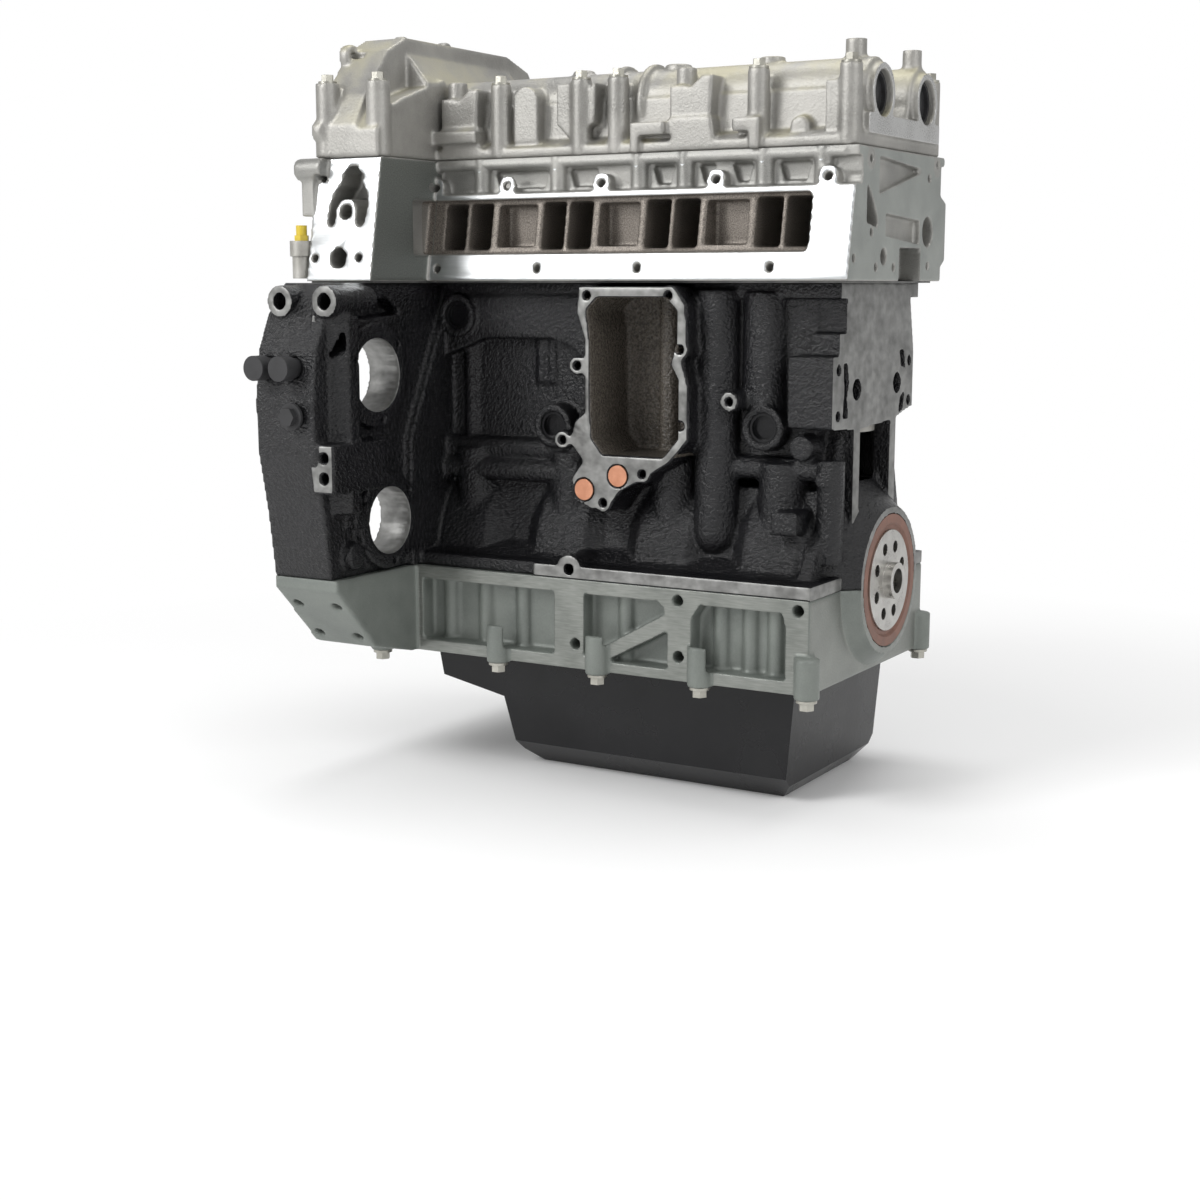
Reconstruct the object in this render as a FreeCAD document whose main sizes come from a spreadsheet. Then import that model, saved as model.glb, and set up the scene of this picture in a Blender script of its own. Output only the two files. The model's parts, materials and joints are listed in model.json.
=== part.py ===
import FreeCAD, Part
import math
import os
import re
import Sketcher
from types import SimpleNamespace

# Four-cylinder diesel engine, long block, in millimetres.
# +X runs along the crankshaft towards its bolted flange, +Z is up, and the intake side faces -Y.
# The origin is the centre of the crank flange's front face. Z = 0 is the joint between
# the block and the bedplate.

Vector = FreeCAD.Vector
doc = FreeCAD.newDocument("diesel_engine")
sheet = doc.addObject("Spreadsheet::Sheet", "sizes")

# Driving dimensions: alias, value, what it is.
DIMENSIONS = [
    ("boreSpacing", 107, "between neighbouring cylinder centres"),
    ("firstBore", 70, "flange face to the centre of the first cylinder"),
    ("boreRadius", 47.9, "cylinder bore"),
    ("boreDepth", 174, "cylinder bore, down from the deck"),
    ("crankThrow", 52, "crank axis to crankpin axis"),
    ("rodLength", 158, "between the rod's two eyes"),
    ("restAngle", 75, "crank angle of the first cylinder at rest, in degrees after top dead centre"),
    ("bigEndSlack", 1.0, "open pivot of the big ends, radial"),
    ("outerPinZ", 163.295, "wrist pins of the outer cylinders at rest"),
    ("innerPinZ", 136.836, "wrist pins of the inner cylinders at rest"),
    ("rodTilt", 18.2115, "lean of every rod at rest, in degrees"),
    ("deckHeight", 264, "crank axis to the top of the block"),
    ("gasketThick", 1.5, "head gasket"),
    ("headHeight", 110.5, "head gasket to the cam carrier joint"),
    ("endFace", 14, "flange face back to the machined end face of the block"),
    ("headOverhang", 18, "head in front of the block's end face"),
    ("rearWall", 456, "flange face back to the wall behind the last cylinder"),
    ("caseFront", 420, "flange face back to the front of the chain case"),
    ("rearRim", 493, "flange face back to the open rim of the chain case"),
    ("caseWall", 10, "chain case wall"),
    ("wallSide", 80, "crank plane to the outer wall of the cylinders"),
    ("bulkheadThick", 24, "walls that carry the main bearings"),
    ("bayRadius", 103, "room for the big ends"),
    ("webRoom", 92, "room for the counterweights"),
    ("bulgeWall", 9, "wall of the crankcase round each crank bay"),
    ("railSide", 143, "crank plane to the machined face of the rail"),
    ("railHeight", 12, "machined rail above the joint"),
    ("farRail", 118, "crank plane to the rail on the exhaust side"),
    ("bedplateDepth", 82, "joint down to the pan face"),
    ("panFlange", 3, "pan flange"),
    ("panWall", 2.5, "pan sheet"),
    ("panBottom", 190, "crank axis down to the floor of the pan"),
    ("panRear", 330, "flange face back to the rear of the deep sump"),
    ("mainRadius", 38, "main journals"),
    ("pinRadius", 32, "crankpins"),
    ("shellThick", 3.25, "main bearing shells"),
    ("rodShellThick", 2, "rod bearing shells"),
    ("runningGap", 0.05, "radial gap of a bearing"),
    ("skirtGap", 0.08, "radial gap of a piston"),
    ("faceGap", 0.3, "gap between faces that slide past each other"),
    ("flangeRadius", 45.75, "crank flange"),
    ("flangeThick", 6, "crank flange"),
    ("flangeBoltCircle", 31.5, "radius of the circle of the flange's tapped holes"),
    ("flangeHole", 5.5, "tapped hole in the crank flange"),
    ("flangeHoleDepth", 18, "tapped hole in the crank flange"),
    ("hubRadius", 16.5, "pilot hub of the crank flange"),
    ("hubHeight", 8, "pilot hub in front of the flange face"),
    ("pilotRadius", 11.25, "pilot bore"),
    ("pilotDepth", 24, "pilot bore"),
    ("sealRadius", 60, "seat of the crank seal"),
    ("sealThick", 7, "crank seal"),
    ("housingRadius", 67, "front edge of the seal housing"),
    ("housingFlare", 86, "back edge of the seal housing"),
    ("noseRadius", 15, "crank nose inside the chain case"),
    ("chainPlane", 474, "flange face back to the middle of the chain"),
    ("chainPitch", 8, "between the pins of the chain"),
    ("crankTeeth", 17, "teeth of the crank sprocket"),
    ("chainWidth", 12, "over the outer plates"),
    ("toothWidth", 4.4, "sprocket teeth"),
    ("camSpread", 50.5, "crank plane to each camshaft"),
    ("camRise", 45, "carrier joint up to the camshafts"),
    ("camBase", 11.5, "base circle of the lobes"),
    ("camNose", 6, "nose radius of the lobes"),
    ("camReach", 12.2, "cam axis to the centre of the nose"),
    ("camShaft", 10.5, "camshaft between the lobes"),
    ("camJournal", 18.5, "camshaft journals"),
    ("camPlug", 19.3, "bore closed by the cam plugs"),
    ("lobeWidth", 14, "cam lobes"),
    ("valveSpacing", 38, "between the two valves of a pair"),
    ("valveTilt", 9.67, "valve lean from upright, in degrees"),
    ("stemRadius", 3.25, "valve stems"),
    ("intakeHead", 14.5, "intake valve heads"),
    ("exhaustHead", 13, "exhaust valve heads"),
    ("tappetRadius", 16, "bucket tappets"),
    ("tappetHeight", 22, "bucket tappets"),
    ("intakeTilt", 10.2, "lean of the intake face, in degrees"),
    ("headSide", 121, "crank plane to the lower edge of the intake face"),
    ("headFar", 99, "crank plane to the exhaust face"),
    ("portRise", 28.5, "head gasket up to the floor of the intake ports"),
    ("portHeight", 42, "intake ports"),
    ("portWidth", 24, "intake ports"),
    ("plateSide", 207, "crank plane to the lower edge of the water plate"),
    ("pumpSide", 198.5, "crank plane to the upper pump bore"),
    ("pumpHeight", 181.6, "crank axis to the upper pump bore"),
    ("pumpRadius", 33, "upper pump bore"),
    ("lowerPumpSide", 183.4, "crank plane to the lower pump bore"),
    ("lowerPumpHeight", 47.3, "crank axis to the lower pump bore"),
    ("lowerPumpRadius", 31, "lower pump bore"),
    ("coolerSide", 126, "crank plane to the oil cooler flange"),
    ("boltRadius", 4, "shanks of the small bolts"),
    ("boltClearance", 0.3, "round the shank of a bolt"),
]
for row, (alias, value, meaning) in enumerate(DIMENSIONS, 1):
    sheet.set(f"A{row}", meaning)
    sheet.set(f"B{row}", str(value))
    sheet.setAlias(f"B{row}", alias)
doc.recompute()
ALIASES = {alias for alias, value, meaning in DIMENSIONS}
s = SimpleNamespace(**{alias: float(sheet.get(alias)) for alias in ALIASES})
# Heights that follow from others.
DERIVED = {"camHeight": "(deckHeight + gasketThick + headHeight + camRise)",
           "portFloor": "(deckHeight + gasketThick + portRise)"}
s.camHeight = s.deckHeight + s.gasketThick + s.headHeight + s.camRise

CYLINDERS = range(4)
ALONG_X = FreeCAD.Rotation(Vector(0, 1, 0), 90)
ALONG_Y = FreeCAD.Rotation(Vector(1, 0, 0), -90)
UPRIGHT = FreeCAD.Rotation()
TURNED = {"x": ALONG_X, "y": ALONG_Y, "z": UPRIGHT}
# Sketch planes: the sketch's own two directions, then the direction of its pad.
PLANES = {
    "yz": FreeCAD.Rotation(Vector(0, 1, 0), Vector(0, 0, 1), Vector(1, 0, 0), "XYZ"),
    "xz": FreeCAD.Rotation(Vector(1, 0, 0), Vector(0, 0, 1), Vector(0, -1, 0), "XYZ"),
    "xy": FreeCAD.Rotation(Vector(1, 0, 0), Vector(0, 1, 0), Vector(0, 0, 1), "XYZ"),
}


def linked(formula):
    # Words in a formula are cells of the sheet, or heights worked out from them.
    text = re.sub(r"[A-Za-z]+", lambda word: DERIVED.get(word[0], word[0]), str(formula))
    return re.sub(r"[A-Za-z]+", lambda word: "sizes." + word[0] if word[0] in ALIASES else word[0], text)


def bind(item, **formulas):
    for prop, formula in formulas.items():
        item.setExpression(prop.replace("_", "."), linked(formula))
    return item


def place(item, x=0, y=0, z=0):
    return bind(item, Placement_Base_x=x, Placement_Base_y=y, Placement_Base_z=z)


def box(x, y, z):
    # Each argument is a pair: the lower and the upper bound.
    item = doc.addObject("Part::Box", "block")
    bind(item, Length=f"({x[1]}) - ({x[0]})", Width=f"({y[1]}) - ({y[0]})",
         Height=f"({z[1]}) - ({z[0]})")
    return place(item, x[0], y[0], z[0])


def rod(axis, x, y, z, radius, length):
    # A round bar from the point x, y, z in the positive direction of its axis.
    item = doc.addObject("Part::Cylinder", "bar")
    item.Placement = FreeCAD.Placement(Vector(), TURNED[axis])
    bind(item, Radius=radius, Height=length)
    return place(item, x, y, z)


def taper(axis, x, y, z, start, end, length):
    item = doc.addObject("Part::Cone", "taper")
    item.Placement = FreeCAD.Placement(Vector(), TURNED[axis])
    bind(item, Radius1=start, Radius2=end, Height=length)
    return place(item, x, y, z)


def ball(x, y, z, radius):
    item = doc.addObject("Part::Sphere", "ball")
    bind(item, Radius=radius)
    return place(item, x, y, z)


def outline(sketch, points):
    # A closed polygon whose corners are all bound to the sheet.
    count = len(points)
    for index in range(count):
        here = Vector(index, index * index, 0)
        after = Vector(index + 1, (index + 1) ** 2, 0)
        sketch.addGeometry(Part.LineSegment(here, after), False)
    for index in range(count):
        sketch.addConstraint(Sketcher.Constraint("Coincident", index, 2, (index + 1) % count, 1))
    for index, corner in enumerate(points):
        for kind, formula in zip(("DistanceX", "DistanceY"), corner):
            number = sketch.addConstraint(Sketcher.Constraint(kind, -1, 1, index, 1, 1.0))
            sketch.setExpression(f"Constraints[{number}]", linked(formula))


def pad(plane, points, start, end):
    # A polygon drawn in a plane and padded between two places on the plane's axis.
    sketch = doc.addObject("Sketcher::SketchObject", "outline")
    sketch.Placement = FreeCAD.Placement(Vector(), PLANES[plane])
    outline(sketch, points)
    axis = {"yz": "x", "xz": "y", "xy": "z"}[plane]
    first = end if plane == "xz" else start
    bind(sketch, **{"Placement_Base_" + axis: first})
    item = doc.addObject("Part::Extrusion", "pad")
    item.Base = sketch
    item.DirMode = "Normal"
    item.Solid = True
    return bind(item, LengthFwd=f"({end}) - ({start})")


def turned(points, axis="z", x=0, y=0, z=0):
    # A body of revolution: the points are radius and height, about the body's own upright axis.
    body = doc.addObject("PartDesign::Body", "turned")
    plane = [item for item in body.Origin.OriginFeatures if item.Role == "XZ_Plane"][0]
    sketch = body.newObject("Sketcher::SketchObject", "section")
    sketch.AttachmentSupport = (plane, [""])
    sketch.MapMode = "FlatFace"
    outline(sketch, points)
    spin = body.newObject("PartDesign::Revolution", "spin")
    spin.Profile = sketch
    spin.ReferenceAxis = (sketch, ["V_Axis"])
    spin.Angle = 360
    body.Placement = FreeCAD.Placement(Vector(), TURNED[axis])
    return place(body, x, y, z)


def fuse(items):
    items = list(items)
    if len(items) == 1:
        return items[0]
    joined = doc.addObject("Part::MultiFuse", "joined")
    joined.Shapes = items
    joined.Refine = False
    return joined


def cut(base, tools):
    result = doc.addObject("Part::Cut", "cut")
    result.Base = base
    result.Tool = fuse(tools)
    result.Refine = False
    return result


def common(first, second):
    shared = doc.addObject("Part::Common", "shared")
    shared.Base = first
    shared.Tool = second
    return shared


def group(items):
    gathered = doc.addObject("Part::Compound", "group")
    gathered.Links = list(items)
    return gathered


def feature(shape):
    item = doc.addObject("Part::Feature", "formed")
    item.Shape = shape
    return item


def hex_bar(axis, x, y, z, width, length):
    # A hexagon across its flats, padded along an axis.
    item = doc.addObject("Part::Prism", "hexagon")
    item.Polygon = 6
    item.Placement = FreeCAD.Placement(Vector(), TURNED[axis])
    bind(item, Circumradius=f"({width}) * 0.57735", Height=length)
    return place(item, x, y, z)


pieces = {}


def piece(name, item):
    item.Label = name
    pieces[name] = item
    return item


def bore_x(number):
    return f"-firstBore - {number} * boreSpacing"


def wall_x(number):
    # The middle of each bulkhead, from the flange end.
    return f"-firstBore + ({0.5 - number}) * boreSpacing"


HALF_WALL = "bulkheadThick / 2"
BAY = "(boreSpacing - bulkheadThick)"
DECK = "deckHeight"
HEAD_BASE = "(deckHeight + gasketThick)"
HEAD_TOP = "(deckHeight + gasketThick + headHeight)"
END = "-endFace"


def in_head(z):
    # A height measured on the real head, carried from the gasket.
    return f"({HEAD_BASE} + {round(z - 265.5, 3)})"


def in_carrier(z):
    # A height measured on the real carrier, carried from its joint.
    return f"({HEAD_TOP} + {z - 376})"


def crank_bays(low, high):
    # The half-round rooms in which the crank turns.
    rooms = []
    for number in CYLINDERS:
        rooms.append(rod("x", f"{bore_x(number)} - {BAY} / 2", 0, 0, "webRoom", BAY))
        rooms.append(rod("x", f"{bore_x(number)} - 24", 0, 0, "bayRadius", 48))
    return common(fuse(rooms), box(("-rearRim", 0), ("-2 * bayRadius", "2 * bayRadius"), (low, high)))


def round_holes(axis, places, radius, length):
    return [rod(axis, x, y, z, radius, length) for x, y, z in places]


# Outline of the chain case, seen along the crank, as Y and Z.
CASE_TOP = f"({DECK})"
CASE_LINE = [("-262", "0"), ("-270", "60"), ("-280", "112"), ("-282", "160"), ("-276", "205"),
             ("-262", "236"), ("-238", CASE_TOP), ("160", CASE_TOP), ("196", "226"),
             ("206", "160"), ("196", "80"), ("176", "0")]


def inset(points, middle_y, middle_z, share):
    # The same outline drawn in towards a point.
    return [(f"{middle_y} + ({y} - ({middle_y})) * {share}", f"{middle_z} + ({z} - ({middle_z})) * {share}")
            for y, z in points]


def engine_block():
    body = box(("-rearWall", f"{END} - 26"), ("-wallSide", "wallSide"), (96, DECK))
    deck_lip = box(("-caseFront", END), ("-wallSide - 10", "wallSide + 8"), (f"{DECK} - 13", DECK))
    skirt = pad("yz", [("-128", "0"), ("-120", "12"), ("-96", "24"), ("-86", "50"), ("-wallSide", "86"),
                       ("wallSide", "104"), ("98", "40"), ("farRail - 6", "0")], "-rearWall", f"{END} - 16")
    bulges = []
    for number in CYLINDERS:
        middle = bore_x(number)
        bulges.append(rod("x", f"{middle} - 24.5", 0, 0, "bayRadius + bulgeWall", 49))
        bulges.append(taper("x", f"{middle} + 24.5", 0, 0, "bayRadius + bulgeWall", "webRoom + 5", 19))
        bulges.append(taper("x", f"{middle} - 43.5", 0, 0, "webRoom + 5", "bayRadius + bulgeWall", 19))
        bulges.append(rod("z", middle, "-wallSide + 2", 50, 22, 60))
    rail = box(("-caseFront", END), ("-railSide + 5", "farRail"), (0, "railHeight"))
    machined = box((-290, END), ("-railSide", 0), (0, "railHeight"))
    lobe = rod("y", -252, "-railSide", 9, 13, 40)
    # Machined end face at the flange end, with its ribs down to the seal housing.
    face = pad("yz", [("-77", DECK), ("-77", "222"), ("-92", "222"), ("-92", "203"), ("-104", "203"),
                      ("-104", "141"), ("-48", "138"), ("34", "142"), ("58", "148"), ("80", "152"),
                      ("80", "203"), ("66", DECK)], f"{END} - 28", END)
    bracket = box((f"{END} - 42", f"{END} - 6"), ("-104", "-wallSide + 4"), (141, 203))
    ribs = [box((f"{END} - 28", END), ("-56", "-42"), (50, 142)),
            box((f"{END} - 28", END), ("27", "41"), (50, 146)),
            pad("yz", [("-128", "0"), ("-92", "52"), ("-74", "60"), ("-56", "140"), ("-46", "140"),
                       ("-60", "50"), ("-70", "0")], f"{END} - 24", f"{END} - 12")]
    housing = [taper("x", f"{END} - 20", 0, 0, "housingFlare + 12", "housingFlare - 6", 17),
               taper("x", f"{END} - 3", 0, 0, "housingFlare - 6", "housingRadius", "endFace + 2"),
               rod("x", -1, 0, 0, "housingRadius", 1)]
    # Chain case: front wall, rim, and the rings of the two pump bores.
    case = pad("yz", CASE_LINE, "-rearRim", "-caseFront - 8")
    shoulder = pad("yz", [("-150", "0"), ("-150", "120"), ("-wallSide", DECK), ("wallSide", DECK),
                          ("140", "120"), ("140", "0")], "-rearWall", "-caseFront")
    rings = [rod("x", "-caseFront - 30", "-pumpSide", "pumpHeight", "pumpRadius + 15", 30),
             rod("x", "-caseFront - 30", "-lowerPumpSide", "lowerPumpHeight", "lowerPumpRadius + 14", 30)]
    tubes = [rod("y", "-caseFront - 6", -266, 248, 14, 60), rod("y", "-caseFront - 56", -266, 248, 14, 60)]
    eight = pad("xz", [("-caseFront - 14", "80"), ("-caseFront + 10", "80"), ("-caseFront + 10", "124"),
                       ("-caseFront - 14", "124")], -278, -200)
    cheek = pad("xy", [("-caseFront - 20", "-268"), ("-caseFront + 8", "-250"), ("-caseFront + 8", "-234"),
                       ("-caseFront - 10", "-234")], 60, 236)
    # Oil cooler flange with its bolt lobes, and the bosses of the intake side.
    cooler = pad("xz", [("-252", f"{DECK} - 3"), ("-154", f"{DECK} - 3"), ("-143", "246"), ("-141", "214"),
                        ("-146", "196"), ("-140", "176"), ("-140", "128"), ("-158", "108"), ("-184", "92"),
                        ("-208", "80"), ("-220", "64"), ("-238", "62"), ("-256", "70"), ("-260", "90"),
                        ("-248", "106"), ("-262", "122"), ("-256", "142"), ("-246", "150"),
                        ("-246", "214"), ("-254", "238")], "-coolerSide", "-wallSide + 4")
    lobes = [rod("y", x, "-coolerSide", z, 9, "coolerSide - wallSide")
             for x, z in ((-243, 253), (-161, 253), (-253, 191), (-149, 207), (-269, 124), (-148, 141),
                          (-186, 97), (-226, 69))]
    core_bosses = []
    for number, height in ((0, 140), (2, 134), (3, 234)):
        core_bosses.append(rod("y", f"{bore_x(number)} - 12", "-wallSide - 20", height, 20, 24))
    ridges = [rod("z", -131, "-wallSide - 7", 44, 20, 214), ball(-131, "-wallSide - 7", 44, 20),
              rod("z", -88, "-wallSide + 3", 156, 21, 100), rod("x", -440, "-wallSide - 4", 110, 10, 170),
              rod("x", -440, "-wallSide - 8", 90, 11, 170), rod("x", -112, "-wallSide - 4", 104, 10, 92),
              rod("y", -106, -116, 163, 9, 40), rod("z", -398, "-wallSide + 1", 108, 7, 110),
              rod("z", -318, "-wallSide + 1", 172, 6, 50), rod("z", -306, "-wallSide + 1", 172, 5, 50),
              rod("z", -296, "-wallSide - 2", 60, 12, 40), rod("z", -22, "-wallSide - 6", 24, 12, 90),
              rod("y", -46, -98, 124, 11, 30), box((-64, -40), (-118, -80), (50, 70)),
              rod("y", -24, -100, 98, 8, 30)]
    # The thick band under the deck, arched over the core plug.
    band = cut(pad("xz", [("-caseFront - 2", "252"), ("-caseFront - 2", "196"), ("-392", "206"), ("-376", "213"),
                          ("-300", "213"), ("-280", "206"), ("-258", "188"), ("-250", "188"), ("-250", "252")],
                   "-wallSide - 13", "-wallSide + 3"),
               [rod("y", f"{bore_x(3)} - 12", "-wallSide - 30", 234, 22, 50)])
    ridges.append(band)
    # Small forms on the front wall of the chain case, and the hex plug's boss on its side.
    case_forms = [pad("yz", [("-252", "206"), ("-252", "150"), ("-244", "146"), ("-240", "196"), ("-222", "226"),
                             ("-232", "232")], "-caseFront - 12", "-caseFront + 2"),
                  box(("-caseFront - 12", "-caseFront + 4"), (-240, -222), (46, 66)),
                  rod("x", "-caseFront - 12", -236, 20, 12, 14), rod("x", "-caseFront - 12", -244, 134, 9, 18)]
    far_side = []
    for number in CYLINDERS:
        far_side.append(rod("z", bore_x(number), "wallSide - 34", 100, 42, 150))
        far_side.append(rod("z", bore_x(number), "wallSide + 2", 50, 20, 70))
    far_side.append(rod("x", "-caseFront - 4", "wallSide + 4", 112, 12, "caseFront - 36"))
    for x in (-330, -250, -180, -100):
        far_side.append(rod("y", x, 60, 196, 12, 46))
    solid = fuse([body, deck_lip, skirt, *bulges, rail, machined, lobe, face, bracket, *ribs, *housing,
                  case, shoulder, *rings, *tubes, eight, cheek, cooler, *lobes, *core_bosses, *ridges,
                  *case_forms, *far_side])
    tools = [box(("-2 * rearRim", "rearRim"), ("-2 * rearRim", "2 * rearRim"), ("-rearRim", 0)),
             crank_bays(-1, "bayRadius + 1"),
             rod("x", "-rearRim", 0, 0, "mainRadius + shellThick", "rearRim - sealThick"),
             rod("x", "-sealThick", 0, 0, "sealRadius", 20)]
    for number in CYLINDERS:
        tools.append(rod("z", bore_x(number), 0, f"{DECK} - boreDepth", "boreRadius", "boreDepth + 5"))
    # The rooms of the chain case, open towards the rear.
    middle = ("-40", "132")
    room = inset(CASE_LINE, *middle, 0.93)
    room[0] = (room[0][0], "-5")
    room[-1] = (room[-1][0], "-5")
    tools.append(pad("yz", room, "-rearRim - 5", "-rearWall"))
    tools.append(box(("-rearRim - 5", "-rearWall"), (-110, 106), (180, f"{DECK} + 5")))
    # Pockets that leave the front wall of the case as a skin with ribs.
    tools.append(pad("yz", [("-260", "196"), ("-252", "222"), ("-236", "246"), ("-170", "250"),
                            ("-150", "236"), ("-214", "232"), ("-248", "206")],
                     "-rearWall + caseWall", "-caseFront + 5"))
    tools.append(rod("x", "-rearRim - 5", "-pumpSide", "pumpHeight", "pumpRadius", "rearRim"))
    tools.append(rod("x", "-rearRim - 5", "-lowerPumpSide", "lowerPumpHeight", "lowerPumpRadius", 140))
    tools += round_holes("y", [("-caseFront - 6", -270, 248), ("-caseFront - 56", -270, 248)], 7, 50)
    tools += round_holes("y", [("-caseFront - 1", -282, 112), ("-caseFront - 1", -282, 94)], 4.5, 30)
    tools += round_holes("y", [("-caseFront - 61", -290, 190), ("-caseFront - 33", -290, 190)], 9, 20)
    tools += round_holes("y", [("-caseFront - 29", -290, 148)], 7.2, 19)
    for turn in (40, 160, 280):
        tools.append(rod("x", "-caseFront - 12", f"-pumpSide + 42 * cos({turn})", f"pumpHeight + 42 * sin({turn})",
                         2.8, 20))
        tools.append(rod("x", "-caseFront - 12", f"-lowerPumpSide + 39 * cos({turn})",
                         f"lowerPumpHeight + 39 * sin({turn})", 2.8, 20))
    # Oil cooler opening with the rib that crosses it.
    opening = pad("xz", [("-240", "222"), ("-243", "240"), ("-232", "251"), ("-165", "251"),
                         ("-153", "240"), ("-153", "212"), ("-159", "194"), ("-151", "180"),
                         ("-151", "130"), ("-166", "113"), ("-226", "113"), ("-238", "128")],
                  "-coolerSide - 5", "-wallSide + 22")
    rib = rod("z", -194, "-wallSide + 20", 90, 9, 180)
    tools.append(cut(opening, [rib]))
    for x, z in ((-243, 253), (-161, 253), (-253, 191), (-149, 207), (-269, 124), (-148, 141),
                 (-186, 97), (-226, 69)):
        tools.append(rod("y", x, "-coolerSide - 2", z, 3.4, 22))
    for x, z in ((-246, 80), (-211, 94)):
        tools.append(rod("y", x, "-coolerSide - 2", z, 7.2, 14))
        tools.append(rod("y", x, "-coolerSide - 2", z, 9.7, 7.4))
    for number, height in ((0, 140), (2, 134), (3, 234)):
        tools.append(rod("y", f"{bore_x(number)} - 12", "-wallSide - 25", height, 13, 15))
    for x in (-330, -250, -180, -100):
        tools.append(rod("y", x, 90, 196, 5.5, 30))
    tools.append(rod("y", -106, -118, 163, 3.4, 20))
    tools.append(rod("x", -34, "-wallSide - 4", 104, 4.5, 20))
    tools.append(rod("y", -252, "-railSide - 2", 9, 5, 30))
    # Holes and pockets of the machined end face.
    for y, z, radius, depth in ((-52, 173, 9, 20), (41, 175, 9, 20), (-92, 191, 4.5, 14), (-92, 152, 4.5, 14),
                                (70, 194, 4.5, 14), (70, 158, 4.5, 14)):
        tools.append(rod("x", f"{END} - {depth}", y, z, radius, depth + 5))
    tools.append(pad("yz", [("-82", "196"), ("-74", "196"), ("-70", "180"), ("-74", "166"), ("-70", "150"),
                            ("-82", "150"), ("-79", "173")], f"{END} - 8", f"{END} + 5"))
    tools.append(pad("yz", [("46", "204"), ("56", "204"), ("60", "188"), ("50", "190")],
                     f"{END} - 8", f"{END} + 5"))
    tools.append(pad("yz", [("46", "148"), ("56", "150"), ("60", "166"), ("50", "162")],
                     f"{END} - 8", f"{END} + 5"))
    piece("engine_block", cut(solid, tools))


BEDPLATE_LINE = [("-262", "0"), ("-262", "-10"), ("-207", "-bedplateDepth + 13"), ("-150", "-bedplateDepth"),
                 ("120", "-bedplateDepth"), ("176", "-30"), ("176", "0")]
LONG_BOLTS = (-15, -117, -221, -328)


def bedplate():
    frame = box(("-rearWall", END), ("-railSide", "farRail"), ("-bedplateDepth", 0))
    case = pad("yz", BEDPLATE_LINE, "-rearRim", "-caseFront - 2")
    housing = [taper("x", f"{END} - 20", 0, 0, "housingFlare + 12", "housingFlare - 6", 17),
               taper("x", f"{END} - 3", 0, 0, "housingFlare - 6", "housingRadius", "endFace + 2"),
               rod("x", -1, 0, 0, "housingRadius", 1)]
    bosses = [rod("z", x, y, "-bedplateDepth - 2", 11, 36) for x in LONG_BOLTS
              for y in ("-railSide - 1", "farRail - 2")]
    bosses += [rod("z", x, y, "-bedplateDepth - 2", 11, 30) for x, y in ((-458, -150), (-458, 110))]
    solid = fuse([frame, case, *housing, *bosses])
    tools = [box(("-2 * rearRim", "rearRim"), ("-2 * rearRim", "2 * rearRim"), (0, "rearRim")),
             rod("x", "-rearRim", 0, 0, "mainRadius + shellThick", "rearRim - sealThick"),
             rod("x", "-sealThick", 0, 0, "sealRadius", 20)]
    for number in CYLINDERS:
        start = f"{bore_x(number)} - {BAY} / 2"
        tools.append(box((start, f"{start} + {BAY}"), ("-bayRadius", "bayRadius"), ("-rearRim", 1)))
    tools.append(pad("yz", [("-236", "5"), ("-240", "-8"), ("-196", "-bedplateDepth + 30"), ("-130", "-bedplateDepth + 18"), ("104", "-bedplateDepth + 18"),
                            ("154", "-26"), ("154", "5")], "-rearRim - 5", "-rearWall"))
    # Panels between the machined strips of the intake side, with their round ribs left standing.
    panels = [pad("xz", [(-414, -70), (-268, -70), (-268, -12), (-414, -12)], "-railSide - 5", "-railSide + 17"),
              pad("xz", [(-236, -70), (-154, -24), (-154, -18), (-160, -12), (-236, -12)],
                  "-railSide - 5", "-railSide + 17"),
              pad("xz", [(-214, -72), (-150, -72), (-150, -38)], "-railSide - 5", "-railSide + 17"),
              pad("xz", [(-126, -70), (-36, -70), (-36, -26), (-40, -12), (-118, -12), (-126, -24)],
                  "-railSide - 5", "-railSide + 17")]
    columns = [rod("z", x, "-railSide + 18", -76, 8, 70) for x in (-392, -352, -310, -200, -104, -76, -52)]
    corners = [rod("y", x, "-railSide - 5", z, 11, 40) for x, z in ((-250, -58), (-140, -10), (-140, -60),
                                                                  (-24, -10), (-24, -58))]
    tools.append(cut(fuse(panels), [*columns, *corners]))
    tools += [rod("y", x, "-railSide - 2", z, 5, 26) for x, z in ((-140, -10), (-25, -9), (-245, -59),
                                                                (-139, -60), (-25, -58))]
    # Slanted underside of the flange, with its pocket and four holes.
    for y, z in ((-246, -27), (-216, -59)):
        for x in ("-rearRim + 12", "-caseFront - 16"):
            tools.append(slanted(x, y, z, 5, 24))
    tools.append(pad("yz", [("-262", "-50"), ("-239", "-35"), ("-223", "-52"), ("-230", "-80")],
                     "-rearRim + 24", "-caseFront - 28"))
    for x in LONG_BOLTS:
        for y in ("-railSide - 1", "farRail - 2"):
            tools.append(rod("z", x, y, "-bedplateDepth - 3", "boltRadius + boltClearance", 24))
    for y in (-150, 110):
        tools.append(rod("z", -458, y, "-bedplateDepth - 3", "boltRadius + boltClearance", 24))
    tools.append(box((-36, 2), (-70, 70), ("-bedplateDepth - 20", "-bedplateDepth")))
    # Exhaust side panels.
    for number in CYLINDERS:
        start = f"{bore_x(number)} - 40"
        tools.append(box((start, f"{start} + 80"), ("farRail - 10", "farRail + 5"), (-68, -14)))
    piece("bedplate", cut(solid, tools))


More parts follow.
